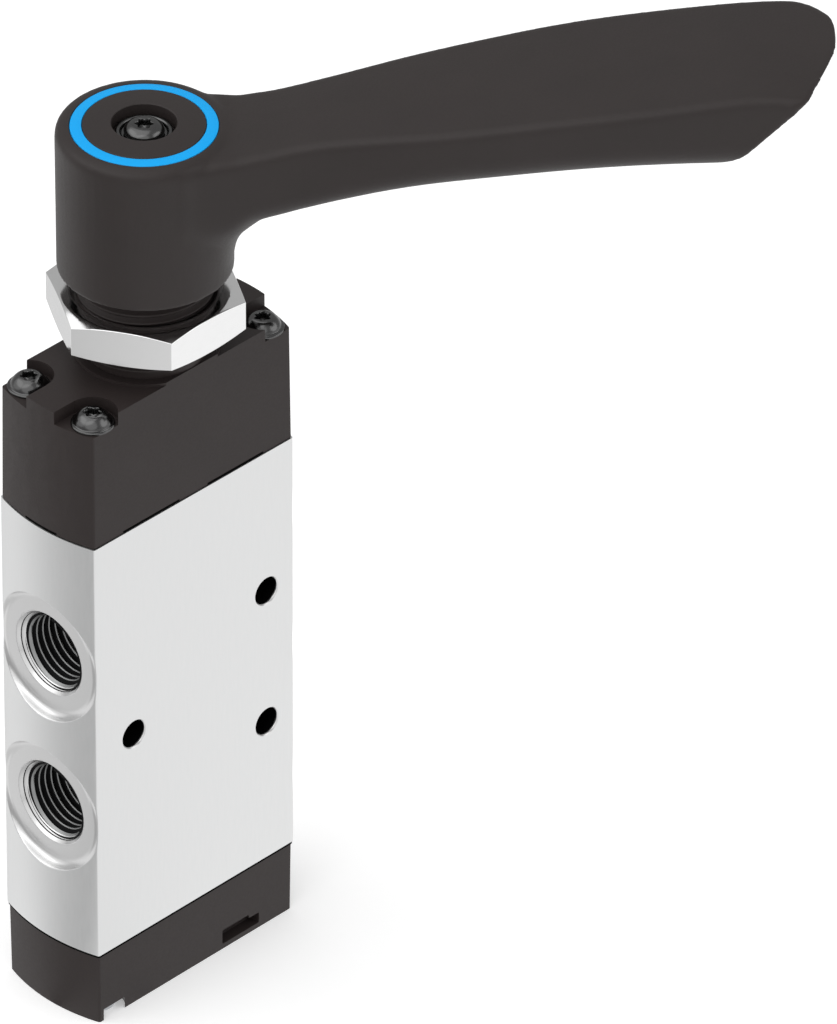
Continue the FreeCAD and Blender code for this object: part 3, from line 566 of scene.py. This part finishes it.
valveBody = {
    "halfLength": 22.0, "halfWidth": 10.62, "low": 13.7, "high": 93.5,
    "bulge": 1.7,  # how far the narrow faces bow out
    "edgeRadius": 0.35, "edgeSteps": 4,  # of the four upright edges
    "rowHeight": 0.8, "columns": 18, "weld": 0.002,
    "frontPorts": (38.93, 68.27), "rearPorts": (27.6, 53.6, 79.6),
    "spotFoot": 9.85, "footRadius": 1.35,  # the flat of a spot face ends here, in a round foot
    "spotWall": 10.905, "spotSlope": 4.0,  # where its wall would meet the flat, and its rise per mm
    "rimRound": 0.9, "rimFade": (0.1, 0.6),  # the soft rim starts inside the foot and is full this far on
    "cutDepth": 0.03,  # the face counts as machined where it lies this far under the bow
    "portRings": (  # radii where the face has points, close together where it bends
        7.6, 8.2, 9.0, 9.6, 9.8, 9.95, 10.1, 10.25, 10.4, 10.55, 10.7, 10.82, 10.92, 11.0, 11.07, 11.14,
        11.2, 11.26, 11.32, 11.38, 11.44, 11.52, 11.62, 11.8, 12.1, 12.5),
    "ringClear": (0.15, 0.5),  # rings stop short of the upright edges, and loose points stay clear of rings
    "portSteps": 144, "portRoundSteps": 5,
    "portRim": ((7.6, 22.0), (7.45, 22.0, 0.12), (7.0, 21.5, 0.12), (6.98, 21.42)),
    "portGroove": ((6.98, 21.42), (6.98, 21.32), (6.93, 21.29)),
    "portChamfer": ((6.93, 21.29), (6.5, 20.8, 0.06), (6.49, 20.74)),
    "portBore": ((6.49, 20.74), (6.58, 20.64), (6.58, 11.0, 0.1), (4.3, 8.6), (0, 8.6)),
    "boreRadius": 8.5, "boreSteps": 96,
    "inletRadius": 4.25, "inletFrom": 2.0, "inletTo": 9.0, "inletSteps": 48,
    "mountHoles": ((16.05, 40.7), (16.05, 66.5), (-13.67, 53.6)), "mountMouth": 2.62, "mountRadius": 2.4,
    "mountRound": 0.12, "mountLip": 0.5, "mountSteps": 48,
    "finishes": ("aluminium", "aluminiumTurned", "aluminiumBored"),
}

wall, machined, recessShade = range(3)  # places in that list of finishes, the last of them the painted shade of recesses


def portSides(part):
    return ((-1, part["frontPorts"]), (1, part["rearPorts"]))


def portTurn(side, height):
    # lays the upward axis of a drawing along a port, outward
    return Matrix.Translation((0, 0, height)) @ Matrix.Rotation(math.radians(90 * side), 4, "Y")


def allPortTurns(part):
    return [portTurn(side, height) for side, ports in portSides(part) for height in ports]


def bowRadius(part):
    return (part["halfWidth"] ** 2 + part["bulge"] ** 2) / (2 * part["bulge"])


def bowAt(y, part):
    radius = bowRadius(part)
    return part["halfLength"] + part["bulge"] - radius + math.sqrt(radius ** 2 - y ** 2)


def endFaceAt(y, z, ports, part):
    # the bowed end face with its spot faces: a flat floor, a round foot, a steep wall and a soft rim
    bow = bowAt(y, part)
    reach = min(math.hypot(y, z - port) for port in ports)
    slopeAngle = math.atan(part["spotSlope"])
    footEnd = part["spotFoot"] + part["footRadius"] * math.sin(slopeAngle)
    if reach <= part["spotFoot"]:
        rise = 0.0
    elif reach < footEnd:
        rise = part["footRadius"] - math.sqrt(part["footRadius"] ** 2 - (reach - part["spotFoot"]) ** 2)
    else:
        rise = part["spotSlope"] * (reach - part["spotWall"])
    cut = rise + part["halfLength"]
    before, width = part["rimFade"]
    blend = part["rimRound"] * min(1.0, max(0.0, (reach - part["spotFoot"] + before) / width))
    if blend <= 0:
        return min(bow, cut)
    overlap = max(blend - abs(bow - cut), 0.0) / blend
    return min(bow, cut) - overlap * overlap * blend / 4


def bodyGrid(part):
    # heights of the rows, places across a narrow face, and the small round of an upright edge
    bend = bowRadius(part)
    bendCentre = part["halfLength"] + part["bulge"] - bend
    cornerY = part["halfWidth"] - part["edgeRadius"]
    cornerX = bendCentre + math.sqrt((bend - part["edgeRadius"]) ** 2 - cornerY ** 2)
    lean = math.degrees(math.asin(cornerY / (bend - part["edgeRadius"])))
    edgeY = cornerY + part["edgeRadius"] * math.sin(math.radians(lean))
    rowCount = round((part["high"] - part["low"]) / part["rowHeight"])
    rows = [part["low"] + (part["high"] - part["low"]) * i / rowCount for i in range(rowCount + 1)]
    columns = [-edgeY + 2 * edgeY * i / part["columns"] for i in range(part["columns"] + 1)]
    return rows, columns, edgeY, arc((cornerX, -cornerY), part["edgeRadius"], -90, -lean, part["edgeSteps"])


def addNarrowFace(draft, part, side, ports, grid):
    rows, columns, edgeY, _ = grid
    border = [(y, rows[0]) for y in columns] + [(edgeY, z) for z in rows[1:]]
    border += [(y, rows[-1]) for y in reversed(columns[:-1])] + [(-edgeY, z) for z in reversed(rows[1:-1])]
    fromEdge, fromRings = part["ringClear"]
    holes = []
    loose = []
    for port in ports:
        mouth, *rings = [circle((0, port), reach, part["portSteps"]) for reach in part["portRings"]]
        holes.append(mouth)
        loose += [point for ring in rings for point in ring if abs(point[0]) < edgeY - fromEdge]
    clear = part["portRings"][-1] + fromRings
    for z in rows[1:-1:2]:
        loose += [(y, z) for y in columns[1:-1] if min(math.hypot(y, z - port) for port in ports) > clear]

    def lift(y, z):
        return Vector((side * endFaceAt(y, z, ports, part), y, z))

    def finishFor(middle):
        depth = bowAt(middle[0], part) - part["cutDepth"]
        return machined if endFaceAt(middle[0], middle[1], ports, part) < depth else wall

    fillFlat(draft, border, holes, loose, lift, finishFor)
    for port in ports:
        turn = portTurn(side, port) @ Matrix.Rotation(math.radians(90 * side), 4, "Z")
        # the groove and the bore take the almost black painted shade
        for stretch, finish in (("portRim", machined), ("portGroove", recessShade), ("portChamfer", machined),
                                ("portBore", recessShade)):
            profile = softened(part[stretch], steps=part["portRoundSteps"])
            addTurned(draft, profile, part["portSteps"], turn, finishIndex=finish)


def addUprightEdges(draft, part, side, ports, grid):
    # the small round beside a narrow face, drawn in where a spot face breaks through the edge
    rows, _, edgeY, cornerArc = grid
    last = len(cornerArc) - 1
    for flip in (-1, 1):
        lines = []
        for z in rows:
            drop = bowAt(edgeY, part) - endFaceAt(edgeY, z, ports, part)
            lines.append([draft.verts.new((side * (x - drop * (k / last)), -flip * y, z))
                          for k, (x, y) in enumerate(cornerArc)])
        for low, high in zip(lines, lines[1:]):
            bridge(draft, low, high, closed=False)


def addWideFaces(draft, part, grid):
    rows, _, _, cornerArc = grid
    wideX = cornerArc[0][0]
    for flip in (-1, 1):
        border = [(-wideX, z) for z in rows] + [(wideX, z) for z in reversed(rows)]
        holes = [circle(centre, part["mountMouth"], part["mountSteps"]) for centre in part["mountHoles"]]
        fillFlat(draft, border, holes, [], lambda x, z: Vector((x, flip * part["halfWidth"], z)),
                 lambda middle: wall)


def addMountHoles(draft, part):
    depth, lip = part["halfWidth"], part["halfWidth"] - part["mountLip"]
    mouth, hole, steps = part["mountMouth"], part["mountRadius"], part["mountSteps"]
    rim = softened([(mouth, -depth), (hole, mouth - hole - depth, part["mountRound"]), (hole, -lip)])
    for x, z in part["mountHoles"]:
        turn = Matrix.Translation((x, 0, z)) @ Matrix.Rotation(math.radians(90), 4, "X")
        addTurned(draft, rim, steps, turn, finishIndex=machined)
        addTurned(draft, [(reach, -height) for reach, height in rim], steps, turn, finishIndex=machined)
        # the hole's bore takes the almost black painted shade
        addTurned(draft, [(hole, -lip), (hole, lip)], steps, turn, finishIndex=recessShade)


def makeValveBody(part):
    draft = bmesh.new()
    grid = bodyGrid(part)
    for side, ports in portSides(part):
        addNarrowFace(draft, part, side, ports, grid)
        addUprightEdges(draft, part, side, ports, grid)
    addWideFaces(draft, part, grid)
    addMountHoles(draft, part)
    bmesh.ops.remove_doubles(draft, verts=draft.verts, dist=part["weld"])
    bmesh.ops.holes_fill(draft, edges=[edge for edge in draft.edges if len(edge.link_faces) == 1], sides=0)
    bmesh.ops.recalc_face_normals(draft, faces=draft.faces)
    piece = toPiece("valveBodyExtrusion", draft)
    addFinishes(piece.data, part["finishes"])
    bore, low, high = part["boreRadius"], part["low"] - past, part["high"] + past
    cutTurned(piece, [(0, low), (bore, low), (bore, high), (0, high)], part["boreSteps"], "EXACT")
    inlets = bmesh.new()
    radius, near, far = part["inletRadius"], part["inletFrom"], part["inletTo"]
    for turn in allPortTurns(part):
        addTurned(inlets, [(0, near), (radius, near), (radius, far), (0, far)], part["inletSteps"], turn)
    cutAway(piece, inlets, "EXACT")
    dressPiece(piece, "valve", "body", ("valve_body",), 28)


makeValveBody(valveBody)

portThread = {
    "root": 6.6, "crest": 5.74, "pitch": 1.337, "low": 11.9, "high": 21.25, "segments": 72, "share": 0.95,
    "runOut": 0.4,  # in turns
    "cone": (6.52, 20.8, 0.93),  # the ridge stays under the chamfer: its radius, height, gain in radius per mm
}


def makePortThreads(thread):
    draft = bmesh.new()
    for turn in allPortTurns(valveBody):
        # crests take the grey painted shade, flanks the almost black painted shade of the bore
        addThread(draft, thread, turn, flankIndex=1)
    finishPiece("portThreads", draft, "valve", "body", ("aluminiumTappedShaded", "aluminiumBored"), sharpAngle=50)


makePortThreads(portThread)
print("valve body and port threads made")

# Neck thread and panel nut

neckThread = {"root": 10.08, "crest": 10.97, "pitch": 1.5, "low": 118.3, "high": 132.9, "segments": 96,
              "share": 0.9, "runOut": 0.5}

panelNut = {
    "acrossFlats": 28.25, "low": 122.1, "high": 128.6, "edge": 0.1,
    "faceRadius": 13.95, "chamferAngle": 17.0, "softOver": 0.25,  # the flat face, and the cone round it
    "mouthRadius": 12.2, "boreRadius": 11.03, "mouthDepth": 0.6,
    "stepsPerFlat": 24, "faceRings": 14,
}


def makeNeckThread(thread):
    draft = bmesh.new()
    addThread(draft, thread)
    finishPiece("neckThread", draft, "valve", "housing", ("polyamide",), sharpAngle=60)


def makePanelNut(part):
    # the hexagon is cut by a soft cone above and below, which leaves the curved edges on its flats
    draft = bmesh.new()
    slope = math.tan(math.radians(part["chamferAngle"]))
    steps = part["stepsPerFlat"] * 6
    middle = (part["low"] + part["high"]) / 2
    half = part["high"] - middle
    mouth, soft = part["mouthRadius"], part["softOver"]
    turns = [2 * math.pi * i / steps for i in range(steps)]
    toFlat = part["acrossFlats"] / 2
    corners = [toFlat / math.cos(math.radians(math.degrees(turn) % 60 - 30)) for turn in turns]

    def ring(share):
        # share 0 is the mouth and 1 the hexagon; heights are from the nut's middle
        line = []
        for turn, corner in zip(turns, corners):
            reach = mouth + (corner - mouth) * share
            beyond = min(max(reach - part["faceRadius"] + soft, 0.0), 2 * soft)
            drop = slope * (beyond ** 2 / (4 * soft) + max(reach - part["faceRadius"] - soft, 0.0))
            line.append((reach, turn, half - drop))
        return line

    thread = [(part["boreRadius"], turn, half - part["mouthDepth"]) for turn in turns]
    upper = [thread] + [ring(i / part["faceRings"]) for i in range(part["faceRings"] + 1)]
    lower = [[(reach, turn, -height) for reach, turn, height in line] for line in reversed(upper)]
    verts = []
    for line in upper + lower:
        verts.append([draft.verts.new(pointAt(reach, turn, middle + height)) for reach, turn, height in line])
    for low, high in zip(verts, verts[1:] + verts[:1]):
        bridge(draft, low, high)
    finishPiece("panelNutHexagon", draft, "nut", "nut", ("nickel",), ("panel_nut",), 25, part["edge"])


makeNeckThread(neckThread)
makePanelNut(panelNut)
print("neck thread and nut made")

# Screws

screwTip = {
    "share": 0.8,  # of the shank's radius
    "height": 0.4,
    "recessCone": 0.25,  # depth of the drill's cone below the recess
}

# degrees: tilt turns a screw upside down, turned is the first one's turn and what each next one adds
screws = {
    "housingScrewHeads": {
        "node": "housing_screws", "body": "valve", "slot": "black_screw", "finish": "darkChrome",
        "places": ((-18.7, -7.15), (-18.7, 7.15), (18.7, -7.15), (18.7, 7.15)), "seat": 114.6, "length": 28.0,
        "shank": 1.45, "tilt": 0, "turned": (8, 17), "segments": 72,
        "head": ((1.45, 0.0), (3.5, 0.0, 0.1), (3.5, 0.4, 0.18), (3.02, 0.47, 0.12), (2.9, 0.95, 0.3),
                 (2.55, 1.5, 0.45), (2.1, 1.95, 0.35), (1.7, 2.19, 0.15)),
        "recess": ((1.46, 2.19, 1.12), (1.38, 2.1, 1.02), (1.36, 1.0, 1.0), (0.9, 0.85, 0.9)),
    },
    "baseScrewHeads": {
        "node": "base_screws", "body": "valve", "slot": "zinc_screw", "finish": "zincSteel",
        "places": ((-18.4, -7.15), (-18.4, 7.15), (18.4, -7.15), (18.4, 7.15)), "seat": 2.2, "length": 18.0,
        "shank": 1.45, "tilt": 180, "turned": (0, 23), "segments": 72,
        "head": ((1.45, 0.0), (2.5, 0.0, 0.1), (2.5, 0.7, 0.4), (2.3, 1.5, 0.4), (1.75, 1.9, 0.15)),
        "recess": ((1.46, 1.9, 1.08), (1.38, 1.8, 0.99), (1.36, 0.8, 0.97), (0.9, 0.7, 0.9)),
    },
    "leverScrewHead": {
        "node": "lever_screw", "body": "lever", "slot": "screw", "finish": "darkChrome",
        "places": ((0, 0),), "seat": 156.9, "length": 12.0,
        "shank": 1.95, "tilt": 0, "turned": (12, 0), "segments": 96,
        "head": ((1.95, 0.0), (3.0, 0.0, 0.1), (3.24, 0.45, 0.3), (3.2, 0.85, 0.3), (2.8, 1.4, 0.4),
                 (2.25, 1.75, 0.3), (1.8, 1.85, 0.12)),
        "recess": ((1.55, 1.85, 1.18), (1.47, 1.75, 1.08), (1.45, 0.68, 1.06), (0.9, 0.55, 0.9)),
    },
}

cupWasher = {
    "profile": ((2.2, 156.3), (4.57, 156.3, 0.15), (4.57, 157.35, 0.2), (4.35, 157.52, 0.1),
                (3.95, 157.52, 0.1), (3.72, 157.3, 0.2), (3.62, 156.9, 0.15), (2.2, 156.9)),
    "segments": 120, "roundSteps": 4,
}


def screwProfile(screw):
    # from the tip up over the head and down into the six-lobed recess, heights from the seat
    low = -screw["length"]
    tip = [(screw["shank"] * screwTip["share"], low), (screw["shank"], low + screwTip["height"])]
    rounded = softened(tip + list(screw["head"]))
    floor = screw["recess"][-1][1] - screwTip["recessCone"]
    return [(0, low)] + rounded + list(screw["recess"]) + [(0, floor)]


def makeScrews(name, screw):
    draft = bmesh.new()
    first, step = screw["turned"]
    tilt = Matrix.Rotation(math.radians(screw["tilt"]), 4, "X")
    for i, (x, y) in enumerate(screw["places"]):
        turn = Matrix.Rotation(math.radians(first + step * i), 4, "Z")
        place = Matrix.Translation((x, y, screw["seat"])) @ tilt @ turn
        addTurned(draft, screwProfile(screw), screw["segments"], place)
    finishPiece(name, draft, screw["body"], screw["slot"], (screw["finish"],), (screw["node"],), 40)


def makeCupWasher(part):
    draft = bmesh.new()
    addTurned(draft, softened(part["profile"], steps=part["roundSteps"]), part["segments"], closed=True)
    finishPiece("leverCupWasher", draft, "lever", "washer", ("darkChrome",), ("lever_washer",), 40)


for pieceName, screw in screws.items():
    makeScrews(pieceName, screw)
makeCupWasher(cupWasher)
print("screws and washer made")

# Lever

leverMoulding = {
    "voxel": 0.36,  # the grid on which the moulding is rebuilt, so that its corners can flow
    "hubTop": 158.2, "crown": 0.9, "hubLow": 132.5, "hubRadius": 14.0, "seat": 136.2, "plugRadius": 12.3,
    "rootRing": (13.98, 24.0),  # what is cleared under the arm, from the hub's wall outward
    "rootDepth": (2.0, 1.0),  # the clearing ring's two edges below the hub's, before the upper one is lifted
    "underside": (24.0, 11.3, 0.45),  # of the arm: a reach, its drop below the hub's top, its rise per mm
    "sweep": (12.0, 10.2, 5.0),  # under the root: radius in the middle, half breadth, round of its lower edge
    "sweepSteps": (30, 8),
    "sweepLimit": 0.98,  # keeps its end lines clear of where they would vanish
    "flowReach": 5.0, "flowAt": 0.5, "flowRounds": 70,  # the soft root: how wide, how far off the hub's wall
    "flowFrom": (4.0, 4.0),  # it starts this far along the arm and is full that much further
    "flowUnder": (2.0, 8.0, 0.12),  # from this far below the top it grows over this depth, and is never less
    "creaseAt": 18.0, "creaseReach": 8.0, "creaseRounds": 110,  # where the sweep meets the arm's underside
    "creaseOver": (5.0, 3.0),  # how far above the underside it works, and over what height it fades
    "wall": (13.95, 132.75, 155.6),  # the hub's straight wall: radius, low and high
    "evenRounds": 3,
    "groove": (9.7, 11.7, 157.2), "pocketRadius": 5.15, "pocketFloor": 156.3, "holeRadius": 2.2,
    "squareTop": 151.5, "squareReach": 4.98, "skirtRadius": 11.7, "edge": 0.12,
    "steps": {"dome": 12, "plug": 128, "root": 144, "wall": 180, "groove": 144, "pocket": 96, "skirt": 128},
}
alongArm = Vector((1, -1, 0)).normalized()


def hubDome(radius, part):
    # the hub's top is a little higher in the middle than at its rim
    return part["hubTop"] + part["crown"] * (1 - (radius / part["hubRadius"]) ** 2)


def undersideAt(reach, part):
    # height of the arm's underside
    at, drop, rise = part["underside"]
    return part["hubTop"] - drop - rise * (at - reach)


def fromNode(name):
    # a working copy of a solid's mesh, in millimetres
    mesh = nodes[name].data.copy()
    mesh.transform(Matrix.Scale(1 / mm, 4) @ nodes[name].matrix_world)
    return mesh


def rebuildOnGrid(piece, size):
    rebuild = piece.modifiers.new("rebuild", "REMESH")
    rebuild.mode = "VOXEL"
    rebuild.voxel_size = size
    applyModifiers(piece)


def smoothPiece(piece, rounds, group=""):
    smooth = piece.modifiers.new("smooth", "SMOOTH")
    smooth.factor = 0.5
    smooth.iterations = rounds
    smooth.vertex_group = group
    applyModifiers(piece)


def addRootSweep(draft, part):
    # fills the corner between the hub's wall and the arm's underside with a hollow sweep
    across = Vector((alongArm.y, -alongArm.x, 0))
    middle, half, lowRound = part["sweep"]
    steps, arcSteps = part["sweepSteps"]
    limit = part["sweepLimit"]
    lean = math.atan(1 / part["underside"][2])
    lines = []
    for i in range(steps + 1):
        side = half * (2 * i / steps - 1) * limit
        radius = middle * math.sqrt(1 - (side / half) ** 2)
        start = math.sqrt(part["rootRing"][0] ** 2 - side ** 2)
        beside = min(max(abs(side) - half + lowRound, 0) / lowRound, limit)
        end = start + radius * (1 - math.cos(lean))
        under = undersideAt(end, part) + lowRound * (1 - math.sqrt(1 - beside ** 2))
        low = under - radius * math.sin(lean)
        line = [(start - past, low)]
        for k in range(arcSteps + 1):
            turn = lean * k / arcSteps
            line.append((start + radius * (1 - math.cos(turn)), low + radius * math.sin(turn)))
        line += [(end, under + past), (start - past, under + past)]
        lines.append([draft.verts.new(alongArm * x + across * side + Vector((0, 0, z))) for x, z in line])
    for near, far in zip(lines, lines[1:]):
        bridge(draft, near, far)
    draft.faces.new(lines[0])
    draft.faces.new(list(reversed(lines[-1])))


def clearRoot(piece, part):
    # takes away what the solid has under the arm beside the hub, up to the slope of the underside
    cutter = bmesh.new()
    near, far = part["rootRing"]
    low, high = [part["hubLow"] - depth for depth in part["rootDepth"]]
    section = [(near, low), (far, low), (far, high), (near, high)]
    addTurned(cutter, section, part["steps"]["root"], closed=True)
    for vert in cutter.verts:
        if vert.co.z > (low + high) / 2:
            vert.co.z = undersideAt(vert.co.dot(alongArm), part)
    cutAway(piece, cutter, "MANIFOLD")


def markFlow(piece, part):
    # two groups: the root where arm and hub flow together, and the crease under the arm
    flow = piece.vertex_groups.new(name="flow")
    crease = piece.vertex_groups.new(name="crease")
    fadeFrom, fadeOver = part["flowFrom"]
    below, depth, least = part["flowUnder"]
    over, fade = part["creaseOver"]
    for vert in piece.data.vertices:
        reach = vert.co.dot(alongArm)
        fromHub = math.hypot(vert.co.x, vert.co.y) - part["hubRadius"]
        fromRoot = abs(fromHub - part["flowAt"]) / part["flowReach"]
        side = min(1.0, max(0.0, (reach - fadeFrom) / fadeOver))
        under = min(1.0, max(least, (part["hubTop"] - below - vert.co.z) / depth))
        if fromRoot < 1 and side > 0:
            flow.add([vert.index], (1 - fromRoot ** 2) * side * under, "REPLACE")
        ceiling = undersideAt(reach, part) + over
        beyond = abs(reach - part["creaseAt"]) / part["creaseReach"]
        if beyond < 1 and vert.co.z < ceiling:
            crease.add([vert.index], (1 - beyond ** 2) * min(1.0, (ceiling - vert.co.z) / fade), "REPLACE")


def cutHubTop(piece, part):
    # the groove for the ring, and the pocket and hole for the screw
    inner, outer, floor = part["groove"]
    edge = part["edge"]
    above = part["hubTop"] + part["crown"] + past
    innerTop, outerTop = hubDome(inner, part), hubDome(outer, part)
    cutTurned(piece, [(inner, floor), (outer, floor), (outer, outerTop - edge), (outer + edge, outerTop),
                      (outer + edge, above), (inner - edge, above), (inner - edge, innerTop),
                      (inner, innerTop - edge)], part["steps"]["groove"], closed=True)
    pocket, hole, floor = part["pocketRadius"], part["holeRadius"], part["pocketFloor"]
    rim = hubDome(pocket, part)
    foot = part["squareTop"] - past
    cutTurned(piece, [(0, foot), (hole, foot), (hole, floor), (pocket, floor), (pocket, rim - edge),
                      (pocket + edge, rim), (pocket + edge, above), (0, above)], part["steps"]["pocket"])


def cutHubSkirt(piece, part):
    # the hollow that covers the neck, and the seat of the shaft above it
    low, seat, skirt, square = part["hubLow"], part["seat"], part["skirtRadius"], part["squareReach"]
    chamfer = part["edge"] * 2
    cutTurned(piece, [(0, low - past), (skirt + chamfer, low - past), (skirt + chamfer, low),
                      (skirt, low + chamfer), (skirt, seat), (square, seat), (square, part["squareTop"]),
                      (0, part["squareTop"])], part["steps"]["skirt"])


def makeLever(part):
    # the pockets are plugged, the whole is rebuilt and smoothed, and then the pockets are cut afresh
    draft = openDraft(fromNode("lever"))
    plug, steps = part["plugRadius"], part["steps"]
    radii = [plug * (1 - i / steps["dome"]) for i in range(steps["dome"] + 1)]
    dome = [(radius, hubDome(radius, part)) for radius in radii]
    addTurned(draft, [(0, part["hubLow"]), (plug, part["hubLow"])] + dome, steps["plug"])
    piece = toPiece("leverMoulding", draft)
    rebuildOnGrid(piece, part["voxel"])
    clearRoot(piece, part)
    draft = openDraft(piece.data)
    addRootSweep(draft, part)
    closeDraft(draft, piece.data)
    rebuildOnGrid(piece, part["voxel"])
    markFlow(piece, part)
    smoothPiece(piece, part["flowRounds"], "flow")
    smoothPiece(piece, part["creaseRounds"], "crease")
    radius, foot, head = part["wall"]
    draft = openDraft(piece.data)
    addTurned(draft, [(0, foot), (radius, foot), (radius, head), (0, head)], steps["wall"])
    closeDraft(draft, piece.data)
    rebuildOnGrid(piece, part["voxel"])
    smoothPiece(piece, part["evenRounds"])
    cutHubTop(piece, part)
    cutHubSkirt(piece, part)
    piece.data.materials.clear()
    addFinishes(piece.data, ("polyamideLever",))
    dressPiece(piece, "lever", "lever", ("lever",), 38)


makeLever(leverMoulding)

accentRing = {"inner": 9.78, "outer": 11.62, "low": 157.2, "below": 0.04, "round": 0.14, "segments": 144}


def makeAccentRing(part):
    draft = bmesh.new()
    inner, outer, low = part["inner"], part["outer"], part["low"]
    innerTop, outerTop = [hubDome(radius, leverMoulding) - part["below"] for radius in (inner, outer)]
    profile = softened([(inner, low), (inner, innerTop), (outer, outerTop), (outer, low)], part["round"])
    addTurned(draft, profile, part["segments"], closed=True)
    finishPiece("accentRingInsert", draft, "lever", "accent", ("blueAcetal",), ("accent_ring",), 40)


makeAccentRing(accentRing)
print("lever and ring made")

# Housing, base cap and gaskets: the solids' own forms with what the eye sees at their edges

mouldings = {  # edge is the small round of a moulding, stretch brings a gasket out to its neighbour's wall, where its black is partly the real gasket and partly a painted shadow line in the joint
    "topHousingMoulding": {"node": "top_housing", "slot": "housing", "finish": "polyamide", "edge": 0.14,
                           "footLift": 0.16},
    "baseCapMoulding": {"node": "base_cap", "slot": "base", "finish": "polyamide", "edge": 0.14},
    "topGasketAndShadowLine": {"node": "top_gasket", "slot": "gasket", "finish": "nitrile",
                    "stretch": (1.0298, 1.071, 1.0)},
    "baseGasketAndShadowLine": {"node": "base_gasket", "slot": "gasket", "finish": "nitrile",
                     "stretch": (1.018, 1.043, 1.0), "footLift": -0.15},
}
flatAngle = 0.5  # degrees, faces that meet at less than this are one
footBand = 0.05  # corners this near the lowest one belong to the foot


def makeMoulding(name, part):
    draft = openDraft(fromNode(part["node"]))
    bmesh.ops.remove_doubles(draft, verts=draft.verts, dist=weld)
    bmesh.ops.dissolve_limit(draft, angle_limit=math.radians(flatAngle), verts=draft.verts, edges=draft.edges)
    foot = min(vert.co.z for vert in draft.verts)
    for vert in draft.verts:
        if vert.co.z < foot + footBand:
            vert.co.z += part.get("footLift", 0)
        vert.co = Vector([a * b for a, b in zip(vert.co, part.get("stretch", (1, 1, 1)))])
    edge = part.get("edge", 0.0)
    finishPiece(name, draft, "valve", part["slot"], (part["finish"],), (part["node"],), 28, edge)


for pieceName, part in mouldings.items():
    makeMoulding(pieceName, part)
print("mouldings and gaskets made")
